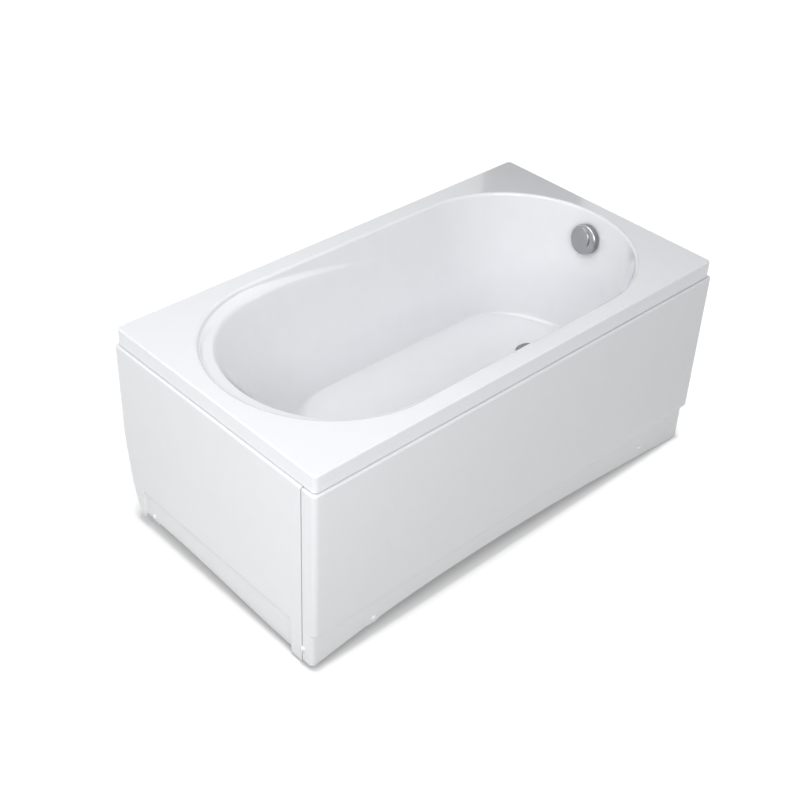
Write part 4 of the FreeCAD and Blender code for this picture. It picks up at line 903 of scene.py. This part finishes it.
class BATHTUB_OT_shell(bpy.types.Operator):
    """Mould the shell: basin, ledge, lip, deck, skirt and the resin-backed underside"""

    bl_idname = "bathtub.shell"
    bl_label = "Moulded shell"

    def execute(self, context):
        scene = context.scene
        basin, fittings = scene.bathtub_basin, scene.bathtub_fittings
        sections = [shell_line(basin, fittings, station) for station in basin_stations(basin)]
        hidden = sections[0][1]
        sections.append(sections[0])
        mesh = laid_sheet([line for line, _ in sections])
        across = len(sections[0][0]) - 1
        for index, face in enumerate(mesh.faces):
            face.material_index = 1 if index % across >= hidden else 0
        piece = add_piece("moulded_shell", weld(mesh), "tub", [shell_gloss(), resin_backing()],
                          ["tub_shell"])
        turn = overflow_matrix(basin, fittings)
        depth = fittings.overflow_boss_depth
        steps = scene.bathtub_stage.segments
        hole = disc(fittings.overflow_hole / 2, -4 * depth, 2 * depth, steps)
        seat = disc(fittings.overflow_seat / 2, -fittings.seat_cut, 2 * depth, steps)
        cut_away(piece, [moved(hole, turn), moved(seat, turn)])
        piece.data.set_sharp_from_angle(angle=SMOOTH_ANGLE)
        bore, wide, sunk = fittings.overflow_hole / 2, fittings.overflow_boss / 2, 2 * MM
        boss = turned([(bore, -depth), (wide, -depth), (wide, -sunk), (bore, -sunk)], steps)
        add_piece("overflow_boss", moved(boss, turn), "tub", [resin_backing()])
        return {"FINISHED"}


# ----------------------------------------------------------------- the panels
ROUND_STEPS = 8
FACE_STEPS = 72
FOOT_STEPS = 6
BAND_STEPS = 60
WALL_FOOT_STEPS = 12
REAR_STEPS = 5
BAND_GUARD = 0.4 * MM
FOLD_GUARD = 2 * MM
CUT_EASE = 0.7 * MM
CUT_ANGLE = math.radians(60)
# How far down the slope at the band's side, against how deep it is there.
BAND_SLOPE = ((0.0, 0.0), (0.2, 0.1), (0.45, 0.4), (0.7, 0.75), (0.9, 0.96), (1.0, 1.0))
# The band's lower edge reaches its full height this many times sooner than the band ends.
BAND_HURRY = 1.2
# Rows of faces down the lower bands: as shares of the way on the front panel, evenly on the end panel.
FRONT_BAND_ROWS = (0.35, 0.7, 0.93, 1.0)
END_BAND_ROWS = 5


def arch_height(panels, basin, x):
    """Height of the front panel's arched lower edge, which falls faster towards the near corner."""
    half = basin.rim_length / 2 + panels.proud
    toe_x = half - panels.front_recess
    toe = toe_x - panels.toe
    crown, top, foot = panels.arch_crown, panels.front_arch, panels.front_foot
    if x <= crown:
        return top - (top - panels.seam_foot) * ((crown - x) / (half + crown)) ** panels.arch_near_bend
    if x <= toe:
        return top - (top - foot) * ((x - crown) / (toe - crown)) ** panels.arch_far_bend
    ahead = min(x, toe_x) - toe
    return foot + panels.toe - math.sqrt(max(0.0, panels.toe ** 2 - ahead ** 2))


def front_plan(panels, basin, inset, recess):
    """Plan of the front panel: seam return, face and waste-end return."""
    half_x = basin.rim_length / 2 + panels.proud
    half_y = basin.rim_width / 2 + panels.proud
    rear = -half_y + panels.seam - panels.seam_gap / 2
    x0, x1, y0 = -half_x + inset, half_x - inset - recess, -half_y + inset + recess
    radius = max(panels.corner - inset, MM)
    start, end, side = x0 + radius, x1 - radius, y0 + radius
    plan = [(x0, rear), (x0, mix(rear, side, 0.5))]
    plan += rounded((start, side), radius, 180, 270, ROUND_STEPS)
    plan += [(x, y0) for x in spread(start, end, FACE_STEPS)[1:-1]]
    plan += [(end - 6 * MM, y0), (end - 3 * MM, y0)]
    plan += rounded((end, side), radius, 270, 360, ROUND_STEPS)
    plan += [(x1, mix(rear, side, 0.5)), (x1, rear)]
    return plan


def fold_levels(panels, depth):
    """Heights and depths down the fold, from the flat face to the lower band."""
    top, base = panels.fold + panels.fold_rise, panels.fold
    return [(top + 3 * MM, 0.0), (top + 0.8 * MM, 0.03 * depth), (top - 0.6 * MM, 0.14 * depth),
            (mix(top, base, 0.35), 0.36 * depth), (mix(top, base, 0.65), 0.66 * depth),
            (base + 0.6 * MM, 0.87 * depth), (base - 0.8 * MM, 0.97 * depth), (base - 3 * MM, depth)]


def top_levels(panels, basin):
    """Insets and heights from the inner edge of the flange over the round top edge."""
    top = basin.rim_height - basin.skirt - panels.top_gap
    levels = [(panels.flange, top), (panels.edge + FOLD_GUARD, top)]
    levels += [(inset, top - drop) for inset, drop in round_edge(panels.edge, EDGE_STEPS)]
    return levels + [(0, top - panels.edge - FOLD_GUARD), (0, mix(panels.fold, top, 0.5))]


def thicken(piece, thickness):
    """Give a sheet its thickness on the hidden side, and ease its cut edges."""
    wall = piece.modifiers.new("wall", "SOLIDIFY")
    wall.thickness = thickness
    wall.offset = -1
    ease = piece.modifiers.new("ease", "BEVEL")
    ease.width = CUT_EASE
    ease.segments = 2
    ease.limit_method = "ANGLE"
    ease.angle_limit = CUT_ANGLE


class BATHTUB_OT_front_panel(bpy.types.Operator):
    """Press the front panel: rolled top, fold, recessed band and arched lower edge"""

    bl_idname = "bathtub.front_panel"
    bl_label = "Front panel"

    def execute(self, context):
        basin, panels = context.scene.bathtub_basin, context.scene.bathtub_panels
        rows = []
        for inset, height in top_levels(panels, basin):
            rows.append([Vector((x, y, height)) for x, y in front_plan(panels, basin, inset, 0)])
        for height, depth in fold_levels(panels, panels.front_recess):
            rows.append([Vector((x, y, height)) for x, y in front_plan(panels, basin, 0, depth)])
        start = rows[-1][0].z
        band = front_plan(panels, basin, 0, panels.front_recess)
        for share in FRONT_BAND_ROWS:
            rows.append([Vector((x, y, mix(start, arch_height(panels, basin, x), share))) for x, y in band])
        mesh = laid_sheet(rows)
        face_out(mesh, Vector((0, -1, 0)))
        thicken(add_piece("pressed_front_panel", mesh, "tub", [panel_gloss()], ["front_panel"]),
                panels.wall)
        return {"FINISHED"}


def face_out(mesh, outward):
    """Turn the faces of an open sheet to its outside."""
    bmesh.ops.recalc_face_normals(mesh, faces=mesh.faces)
    total = Vector()
    for face in mesh.faces:
        total += face.normal * face.calc_area()
    if total.dot(outward) < 0:
        bmesh.ops.reverse_faces(mesh, faces=mesh.faces)


def end_plan(panels, basin):
    """Places along the end panel: how far along Y, how far in along X, and the band's share there."""
    near = -basin.rim_width / 2 - panels.proud + panels.seam + panels.seam_gap / 2
    back = basin.rim_width / 2
    band0 = near - panels.seam_gap / 2 + panels.foot_near
    band1 = back - panels.foot_back
    slope, corner = panels.band_side, panels.back_corner
    places = [(y, 0.0) for y in spread(near, band0 - slope - FOLD_GUARD, FOOT_STEPS)]
    places += [(band0 - slope + slope * at, share) for at, share in BAND_SLOPE]
    places += [(y, 1.0) for y in spread(band0 + BAND_GUARD, band1 - BAND_GUARD, BAND_STEPS)]
    places += [(band1 + slope * (1 - at), share) for at, share in reversed(BAND_SLOPE)]
    places += [(y, 0.0) for y in spread(band1 + slope + FOLD_GUARD, back - corner, WALL_FOOT_STEPS)]
    plan = [(y, 0.0, share) for y, share in places]
    for turn in spread(0, QUARTER, REAR_STEPS)[1:]:
        plan.append((back - corner + corner * math.sin(turn), corner * (1 - math.cos(turn)), 0.0))
    plan.append((back, panels.back_return, 0.0))
    return plan, band0, band1


def end_base(panels, y, band0, band1):
    """Height of the end panel's lower edge: a near foot, a band that rises and a foot at the wall."""
    if y <= band0:
        return panels.end_foot
    if y >= band1:
        return panels.back_foot
    share = min(1.0, (y - band0) / (band1 - band0) * BAND_HURRY)
    return panels.band_floor + panels.band_rise * share * share * (3 - 2 * share)


def rear_edge(panels, basin, band1, y, height):
    """Where a place near the wall moves to at some height, as the rear edge leans and curls in."""
    if y <= band1:
        return y
    up = max(0.0, height - panels.back_foot)
    lean = panels.back_lean * max(0.0, 1 - up / panels.lean_height)
    curl = panels.back_curl * math.exp(-up / panels.curl_height)
    back = basin.rim_width / 2
    return mix(band1, back - lean - curl, (y - band1) / (back - band1))


class BATHTUB_OT_end_panel(bpy.types.Operator):
    """Press the end panel: rolled top, recessed band between two feet, return at the wall"""

    bl_idname = "bathtub.end_panel"
    bl_label = "End panel"

    def execute(self, context):
        basin, panels = context.scene.bathtub_basin, context.scene.bathtub_panels
        face = -basin.rim_length / 2 - panels.proud
        plan, band0, band1 = end_plan(panels, basin)
        rows = []
        for inset, height in top_levels(panels, basin):
            rows.append([Vector((face + max(inset, along), y, height)) for y, along, share in plan])
        low = rows[-1][0].z
        fold = fold_levels(panels, panels.end_recess)
        for height in spread(low, fold[0][0], ROUND_STEPS)[1:-1]:
            rows.append([Vector((face + along, y, height)) for y, along, share in plan])
        for height, depth in fold:
            rows.append([Vector((face + along + depth * share, y, height)) for y, along, share in plan])
        start = rows[-1][0].z
        for step in spread(0, 1, END_BAND_ROWS)[1:]:
            rows.append([Vector((face + along + panels.end_recess * share, y,
                                 mix(start, end_base(panels, y, band0, band1), step)))
                         for y, along, share in plan])
        for row in rows:
            for point in row:
                point.y = rear_edge(panels, basin, band1, point.y, point.z)
        mesh = laid_sheet(rows)
        face_out(mesh, Vector((-1, 0, 0)))
        thicken(add_piece("pressed_end_panel", mesh, "tub", [panel_gloss()], ["end_panel"]),
                panels.wall)
        return {"FINISHED"}


class BATHTUB_OT_caps(bpy.types.Operator):
    """Snap the domed caps over the panel screws"""

    bl_idname = "bathtub.caps"
    bl_label = "Screw caps"

    def execute(self, context):
        basin, panels = context.scene.bathtub_basin, context.scene.bathtub_panels
        half_x, half_y = basin.rim_length / 2 + panels.proud, basin.rim_width / 2 + panels.proud
        height = panels.screw_height
        steps = context.scene.bathtub_stage.segments // 2
        near, out = Vector((0, -1, 0)), Vector((-1, 0, 0))
        band1 = basin.rim_width / 2 - panels.foot_back
        front = [Vector((side * (half_x - panels.front_screw), -half_y + panels.front_recess, height))
                 for side in (-1, 1)]
        end = [Vector((-half_x + panels.end_recess, band1 - panels.end_screw, height)),
               Vector((-half_x, -half_y + panels.seam - panels.seam_screw, height))]
        for name, node, places, outward in (("front_screw_covers", "front_caps", front, near),
                                            ("end_screw_covers", "end_caps", end, out)):
            mesh = bmesh.new()
            tilt = Vector((0, 0, 1)).rotation_difference(outward).to_matrix().to_4x4()
            for place in places:
                join(mesh, moved(self.cap(panels, steps), Matrix.Translation(place) @ tilt))
            add_piece(name, mesh, "tub", [cap_plastic()], [node])
        return {"FINISHED"}

    def cap(self, panels, steps):
        """One hollow cap about +Z: a rim, a shallow groove and a low dome."""
        reach, height = panels.cap / 2, panels.cap_height
        hollow, deep = reach - 1.7 * MM, 2.7 * MM
        outline = [(hollow, 0), (reach - 0.2 * MM, 0), (reach, 0.3 * MM), (reach, 1.1 * MM),
                   (reach - 0.5 * MM, 1.5 * MM), (reach - 0.8 * MM, 1.5 * MM)]
        dome, groove = reach - 0.9 * MM, 1.6 * MM
        for turn in spread(0, QUARTER, ROUND_STEPS):
            outline.append((dome * math.cos(turn), groove + (height - groove) * math.sin(turn)))
        outline[-1] = (0, height)
        outline.reverse()
        return turned(outline + [(hollow, deep), (0, deep)], steps)


# ------------------------------------------------------------------ the overflow
LEAF_STEPS = 30
# Faces of the knob whose normals lie flatter than this belong to its side, which gets the darker chrome as
# painted shade.
KNOB_SIDE = 0.4


def leaf_ring(half, side, height):
    """Points round a leaf: two arcs that meet at its tips."""
    bulge = (half * half + side * side) / (2 * side)
    sweep = math.asin(half / bulge)
    turns = spread(-sweep, sweep, LEAF_STEPS)[:-1]
    ring = [Vector((bulge * math.sin(a) * way, (bulge * math.cos(a) - bulge + side) * way, height))
            for way in (1, -1) for a in turns]
    return ring + ring[:1]


class BATHTUB_OT_overflow(bpy.types.Operator):
    """Turn the overflow knob with its leaf-shaped grip"""

    bl_idname = "bathtub.overflow"
    bl_label = "Overflow knob"

    def execute(self, context):
        scene = context.scene
        basin, fittings = scene.bathtub_basin, scene.bathtub_fittings
        steps = scene.bathtub_stage.segments
        turn = overflow_matrix(basin, fittings)
        wide, base = fittings.knob / 2, fittings.knob_gap
        face = base + fittings.knob_height
        edge, wall = fittings.knob_edge, fittings.knob_wall
        inner, hub = wide - wall, fittings.shaft / 2 + wall
        roof, seat = face - wall, face - 2 * wall
        bore = fittings.shaft / 2
        outline = [(0, face), (wide * 0.5, face), (wide - edge - MM, face)]
        outline += rounded((wide - edge, face - edge), edge, 90, 0, ROUND_STEPS)
        outline += [(wide, base + 3 * MM), (wide, base + MM), (wide - 0.3 * MM, base + 0.3 * MM),
                    (wide - MM, base), (inner, base), (inner, roof), (hub, roof), (hub, base), (bore, base),
                    (bore, seat), (0, seat)]
        knob = turned(outline, steps)
        # The knob's side gets the darker chrome: painted shade where it faces the wall.
        for facet in knob.faces:
            facet.material_index = 1 if abs(facet.normal.z) < KNOB_SIDE else 0
        add_piece("turned_knob", moved(join(knob, self.grip(fittings, face)), turn), "knob",
                  [plated_chrome("chrome"), plated_chrome("dark_chrome")], ["overflow_knob"])
        return {"FINISHED"}

    def grip(self, fittings, face):
        """The leaf that stands on the knob's face, with an eased top edge."""
        half, side, rise = fittings.grip_length / 2, fittings.grip_width / 2, fittings.grip_height
        levels = [(0, -0.6 * MM), (0, 0.2 * MM), (0.15 * MM, 0.6 * MM), (0.4 * MM, rise - 0.8 * MM),
                  (0.6 * MM, rise - 0.3 * MM), (MM, rise)]
        rows = [leaf_ring(half - shrink, side - shrink, face + z) for shrink, z in levels]
        rows.append(leaf_ring(half * 0.72, side * 0.3, face + rise))
        rows.append([Vector((point.x, 0, face + rise)) for point in leaf_ring(half * 0.6, side * 0.2, 0)])
        leaf = weld(laid_sheet(rows))
        bmesh.ops.holes_fill(leaf, edges=[rim for rim in leaf.edges if rim.is_boundary], sides=0)
        bmesh.ops.recalc_face_normals(leaf, faces=leaf.faces)
        turn = Matrix.Rotation(fittings.grip_angle, 4, "Z")
        return moved(leaf, Matrix.Translation((fittings.grip_shift, 0, 0)) @ turn)


# ------------------------------------------------------------------ the waste
STEM_GAP = 0.05 * MM
ARM_BITE = 0.5 * MM
DOME_STEPS = 12


class BATHTUB_OT_waste(bpy.types.Operator):
    """Turn the waste flange with its stem guide, and the domed plug"""

    bl_idname = "bathtub.waste"
    bl_label = "Waste and plug"

    def execute(self, context):
        scene = context.scene
        basin, fittings = scene.bathtub_basin, scene.bathtub_fittings
        steps = scene.bathtub_stage.segments
        x = waste_place(basin)
        floor = floor_height(basin, x)
        top = floor + fittings.crown
        shift = Matrix.Translation((x, 0, 0))
        # The flange and plug get the darker chrome: painted shade down in the drain.
        dark = [plated_chrome("dark_chrome")]
        flange = self.flange(fittings, floor - fittings.dish, top, steps)
        add_piece("turned_waste_flange", moved(flange, shift), "tub", dark, ["drain_flange"])
        plug = self.plug(fittings, top + fittings.seal, steps)
        add_piece("domed_plug", moved(plug, shift), "plug", dark, ["plug_cap"])
        return {"FINISHED"}

    def flange(self, fittings, seat, top, steps):
        """The flange with its tube, and inside it a hub on four arms that guides the stem."""
        wide, outside = fittings.flange / 2, fittings.tube / 2
        mouth, end = outside - fittings.tube_wall, seat - fittings.tube_length
        edge = top - seat - MM
        outline = [(mouth, end), (outside, end), (outside, seat), (wide, seat), (wide, seat + MM)]
        outline += rounded((wide - edge, top - edge), edge, 0, 90, 6)
        outline += [(mouth + 7 * MM, top), (mouth + 4.5 * MM, top - 0.5 * MM),
                    (mouth + 1.2 * MM, top - 0.9 * MM), (mouth, top - 2 * MM)]
        flange = turned(outline, steps)
        low = top - fittings.spider_drop - fittings.spider_height
        arm, high = fittings.spider_arm / 2, low + fittings.spider_height
        hub, guide = fittings.spider_hub / 2, fittings.stem / 2 + STEM_GAP
        for turn in range(4):
            bar = block((hub - MM, -arm, low), (mouth + ARM_BITE, arm, high))
            join(flange, moved(bar, Matrix.Rotation(QUARTER * turn, 4, "Z")))
        return join(flange, turned([(guide, low), (hub, low), (hub, high), (guide, high)], steps))

    def plug(self, fittings, base, steps):
        """A low dome over a short round side."""
        reach, height = fittings.plug / 2, fittings.plug_height
        shoulder = base + height / 3
        spring = shoulder + 0.9 * MM
        rise = base + height - spring
        outline = [(0, base), (reach - MM, base), (reach - 0.3 * MM, base + 0.3 * MM), (reach, base + MM)]
        outline += rounded((reach - MM, shoulder), MM, 0, 60, 4)
        inwards = spread(reach - 1.2 * MM, 0, DOME_STEPS)
        outline += [(radius, spring + rise * math.sin(a))
                    for radius, a in zip(inwards, spread(0, QUARTER, DOME_STEPS))]
        return turned(outline, steps)


# The groove of one rib, row by row, as shares of the rib's depth.
RIB_PROFILE = (0.0, 0.0, 1.0, 1.3, 0.6)
PLAIN_ROWS = 6
HOSE_SIDES = 30


class BATHTUB_OT_hose(bpy.types.Operator):
    """Run the ribbed hose from the overflow down to the waste"""

    bl_idname = "bathtub.hose"
    bl_label = "Overflow hose"

    def execute(self, context):
        basin, fittings = context.scene.bathtub_basin, context.scene.bathtub_fittings
        start_x = basin.rim_length / 2 - fittings.hose_inset
        top = basin.rim_height - fittings.overflow_drop - fittings.hose_drop
        end_x = waste_place(basin) + fittings.port_reach
        low = floor_height(basin, waste_place(basin)) - fittings.port_drop
        bend = fittings.hose_bend
        down, turn = top - low - bend, bend * QUARTER
        total = down + turn + (start_x - bend - end_x)
        across = Vector((0, 1, 0))

        def at(run):
            """Place and upward direction at a distance along the hose."""
            if run < down:
                return Vector((start_x, 0, top - run)), Vector((1, 0, 0))
            angle = min((run - down) / bend, QUARTER)
            outward = Vector((math.cos(angle), 0, -math.sin(angle)))
            place = Vector((start_x - bend, 0, low + bend)) + outward * bend
            if run > down + turn:
                place.x -= run - down - turn
            return place, outward

        rows = len(RIB_PROFILE)
        count = int(total / fittings.rib_pitch) * rows
        wide, bore = fittings.hose / 2, fittings.hose_bore / 2
        spots = [at(run) for run in spread(0, total, count)]
        grooves = [RIB_PROFILE[i % rows] * (PLAIN_ROWS < i < count - PLAIN_ROWS) for i in range(count + 1)]
        radii = [wide - fittings.rib_depth * groove for groove in grooves]
        frames = [(across, upward) for _, upward in spots]
        centres = [place for place, _ in spots]
        inside = range(count, -1, -rows)
        centres += [centres[i] for i in inside] + centres[:1]
        frames += [frames[i] for i in inside] + frames[:1]
        radii += [bore for _ in inside] + radii[:1]
        add_piece("ribbed_overflow_hose", ring_tube(centres, frames, radii, HOSE_SIDES), "tub",
                  [hose_plastic()], ["overflow_hose"])
        return {"FINISHED"}


FEET = ("head_near", "head_back", "waste_near", "waste_back", "middle")
STUD_SIDES = 20
# Where the crest of a thread begins and ends, as shares of the pitch.
CREST = (0.42, 0.58)


class BATHTUB_OT_studs(bpy.types.Operator):
    """Thread the five studs of the levelling feet"""

    bl_idname = "bathtub.studs"
    bl_label = "Threaded studs"

    def execute(self, context):
        fittings = context.scene.bathtub_fittings
        for place in FEET:
            node = "foot_stud_" + place
            low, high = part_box(node)
            middle = (low + high) / 2
            stud = turned(self.outline(fittings, low.z, high.z), STUD_SIDES)
            moved(stud, Matrix.Translation((middle.x, middle.y, 0)))
            add_piece("threaded_stud_" + place, stud, "foot_" + place, [zinc_plate()], [node])
        return {"FINISHED"}

    def outline(self, fittings, low, high):
        """Half a stud in section: bevelled ends, and a root and a crest for each turn of the thread."""
        reach, pitch = fittings.stud / 2, fittings.thread_pitch
        root = reach - fittings.thread_depth
        points = [(0, low), (reach - MM, low), (root, low + MM)]
        height = low + 2 * pitch
        while height < high - 2 * pitch:
            points += [(root, height)] + [(reach, height + share * pitch) for share in CREST]
            height += pitch
        return points + [(root, height), (root, high - MM), (reach - MM, high), (0, high)]


# ---------------------------------------------------------------- the other parts
def finishes_by_name():
    """The finish of each part that keeps its own shape, with how the names of those parts begin."""
    return ((sawn_pine("y"), ("rim_batten_head", "rim_batten_waste")),
            (sawn_pine("x"), ("rim_batten_front", "rim_batten_back")),
            (chip_board(), ("floor_board",)),
            (powder_coat(), ("corner_post", "rail_", "end_beam", "cross_beam")),
            (zinc_plate(), ("front_bracket", "end_bracket", "front_screws", "end_screws", "lock_nuts",
                            "lift_lever", "knob_crank")),
            (black_rubber(), ("foot_pad", "overflow_gasket", "drain_gasket", "plug_seal", "cable_sheath")),
            (plated_chrome(), ("overflow_plate", "plug_stem")),
            (pipe_plastic(), ("overflow_body", "drain_body", "trap", "outlet", "hose_nut")))


class BATHTUB_OT_hidden_parts(bpy.types.Operator):
    """Finish the frame, battens, brackets, feet and pipework in their own materials"""

    bl_idname = "bathtub.hidden_parts"
    bl_label = "Frame and pipework"

    def execute(self, context):
        table = finishes_by_name()
        for name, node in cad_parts.items():
            match = next((material for material, starts in table if name.startswith(starts)), shell_gloss())
            node.data.materials.clear()
            node.data.materials.append(match)
        return {"FINISHED"}


# ------------------------------------------------------------------- the stage
AIM = Vector((0, 0, 0.4))
# Name, setting that holds the power, place, and width and height of each softbox.
SOFTBOXES = (("top_softbox", "top_light", (-0.9, 0.1, 2.3), (1.8, 1.8)),
             ("near_softbox", "near_light", (-1.4, -2.4, 2.2), (1.6, 1.6)),
             ("head_softbox", "head_light", (-2.5, 0.3, 0.5), (1.2, 0.8)),
             ("corner_softbox", "corner_light", (-1.7, -0.9, 0.45), (0.8, 0.7)))
# Name, setting that holds the strength, and spread and tilt in degrees of each lamp for the floor.
FLOOR_LAMPS = (("floor_lamp", "floor_light", 10, 0), ("floor_fill", "floor_fill", 60, 40))
TILT_SIDE = math.radians(-45)
FLAG = ((1.84, 1.5, 0.9), (2.5, 1.52, 2.5))
FLAG_COLOUR = (0.01, 0.01, 0.01, 1)
SENSOR = 36


def seen_ray(tree):
    """1 for rays that come from the camera or through a mirror or glass."""
    path = tree.nodes.new("ShaderNodeLightPath")
    total = math_node(tree, "ADD", path.outputs["Is Camera Ray"], path.outputs["Is Glossy Ray"])
    total = math_node(tree, "ADD", total, path.outputs["Is Transmission Ray"])
    return math_node(tree, "MINIMUM", total, 1.0)


def softbox(name, place, size, power):
    """A soft light that faces the bath."""
    data = bpy.data.lights.new(name, "AREA")
    data.shape = "RECTANGLE"
    data.size, data.size_y = size
    data.energy = power
    lamp = bpy.data.objects.new(name, data)
    bpy.context.scene.collection.objects.link(lamp)
    turn = (AIM - Vector(place)).to_track_quat("-Z", "Y")
    lamp.matrix_world = Matrix.Translation(place) @ turn.to_matrix().to_4x4()
    return lamp


def shine(lamp, ground, state):
    """Let a lamp light the floor alone, or all but the floor."""
    lit = bpy.data.collections.new(lamp.name)
    lit.objects.link(ground)
    lit.collection_objects[0].light_linking.link_state = state
    lamp.light_linking.receiver_collection = lit


class BATHTUB_OT_stage(bpy.types.Operator):
    """Set the camera, the soft light, the pale floor and the white surroundings"""

    bl_idname = "bathtub.stage"
    bl_label = "Stage"

    def execute(self, context):
        scene = context.scene
        stage = scene.bathtub_stage
        self.camera(scene, stage)
        ground = self.floor(stage)
        for name, setting, place, size in SOFTBOXES:
            shine(softbox(name, place, size, getattr(stage, setting)), ground, "EXCLUDE")
        for name, setting, spread_angle, tilt in FLOOR_LAMPS:
            self.floor_lamp(scene, ground, name, getattr(stage, setting), spread_angle, tilt)
        self.flag()
        self.surroundings(scene, stage)
        scene.view_settings.view_transform = "Standard"
        return {"FINISHED"}

    def camera(self, scene, stage):
        data = bpy.data.cameras.new("view")
        data.sensor_width = SENSOR
        data.lens = stage.lens
        eye = bpy.data.objects.new("view", data)
        scene.collection.objects.link(eye)
        az, el = stage.azimuth, stage.elevation
        back = Vector((math.sin(az) * math.cos(el), -math.cos(az) * math.cos(el), math.sin(el)))
        level = Vector((0, 0, 1)).cross(back).normalized()
        upright = back.cross(level)
        right = level * math.cos(stage.roll) + upright * math.sin(stage.roll)
        turn = Matrix((right, back.cross(right), back)).transposed()
        eye.matrix_world = Matrix.Translation(stage.camera) @ turn.to_4x4()
        scene.camera = eye

    def floor(self, stage):
        """A dull floor that is white to the camera and throws less light back at the bath."""
        mesh = bmesh.new()
        bmesh.ops.create_grid(mesh, x_segments=4, y_segments=4, size=stage.floor_size / 2)
        ground = placed("pale_floor", mesh)
        material, tree, shader = new_material("pale_floor")
        seen = seen_ray(tree)
        pale = ramp(tree, seen, 0, 1, stage.floor_bounce, stage.floor_pale)
        glow = math_node(tree, "MULTIPLY", seen, stage.floor_glow)
        tree.links.new(pale, shader.inputs["Base Color"])
        tree.links.new(glow, shader.inputs["Emission Strength"])
        shader.inputs["Emission Color"].default_value = (1, 1, 1, 1)
        shader.inputs["Roughness"].default_value = 0.9
        shader.inputs["Specular IOR Level"].default_value = 0.0
        ground.data.materials.append(material)
        return ground

    def floor_lamp(self, scene, ground, name, strength, spread_angle, tilt):
        """A far lamp for the floor alone, so that the object's shadow stays close to the panels."""
        data = bpy.data.lights.new(name, "SUN")
        data.energy = strength
        data.angle = math.radians(spread_angle)
        lamp = bpy.data.objects.new(name, data)
        scene.collection.objects.link(lamp)
        lean = Matrix.Rotation(math.radians(tilt), 4, "X")
        lamp.matrix_world = Matrix.Rotation(TILT_SIDE, 4, "Z") @ lean
        shine(lamp, ground, "INCLUDE")

    def flag(self):
        """A dark card beyond the waste end, seen only as a reflection in the gloss of the deck."""
        card = placed("dark_flag", block(*FLAG))
        card.visible_camera = False
        card.visible_diffuse = False
        card.visible_shadow = False
        material, _, shader = new_material("dark_flag")
        shader.inputs["Base Color"].default_value = FLAG_COLOUR
        shader.inputs["Roughness"].default_value = 1.0
        card.data.materials.append(material)

    def surroundings(self, scene, stage):
        world = bpy.data.worlds.new("studio")
        world.use_nodes = True
        tree = world.node_tree
        back = tree.nodes["Background"]
        back.inputs["Color"].default_value = (*stage.studio, 1)
        strength = ramp(tree, seen_ray(tree), 0, 1, stage.ambient, 1.0)
        tree.links.new(strength, back.inputs["Strength"])
        scene.world = world


# ------------------------------------------------------------------ the add-on
class BATHTUB_PT_panel(bpy.types.Panel):
    """Lists the steps that build the bathtub"""

    bl_label = "Alcove bathtub"
    bl_idname = "BATHTUB_PT_panel"
    bl_space_type = "VIEW_3D"
    bl_region_type = "UI"
    bl_category = "Bathtub"

    def draw(self, context):
        for operator in OPERATORS:
            self.layout.operator(operator.bl_idname)


GROUPS = {"bathtub_basin": BathtubBasin, "bathtub_panels": BathtubPanels,
          "bathtub_fittings": BathtubFittings, "bathtub_finishes": BathtubFinishes,
          "bathtub_stage": BathtubStage}
OPERATORS = (BATHTUB_OT_stage, BATHTUB_OT_shell, BATHTUB_OT_front_panel, BATHTUB_OT_end_panel,
             BATHTUB_OT_caps, BATHTUB_OT_overflow, BATHTUB_OT_waste, BATHTUB_OT_hose, BATHTUB_OT_studs,
             BATHTUB_OT_hidden_parts)


def register():
    for name, group in GROUPS.items():
        bpy.utils.register_class(group)
        setattr(bpy.types.Scene, name, PointerProperty(type=group))
    for cls in OPERATORS:
        bpy.utils.register_class(cls)
    bpy.utils.register_class(BATHTUB_PT_panel)


def unregister():
    bpy.utils.unregister_class(BATHTUB_PT_panel)
    for cls in reversed(OPERATORS):
        bpy.utils.unregister_class(cls)
    for name, group in GROUPS.items():
        delattr(bpy.types.Scene, name)
        bpy.utils.unregister_class(group)


def main():
    """Build every piece in order."""
    register()
    for operator in OPERATORS:
        group, step = operator.bl_idname.split(".")
        getattr(getattr(bpy.ops, group), step)()


if __name__ == "__main__":
    main()
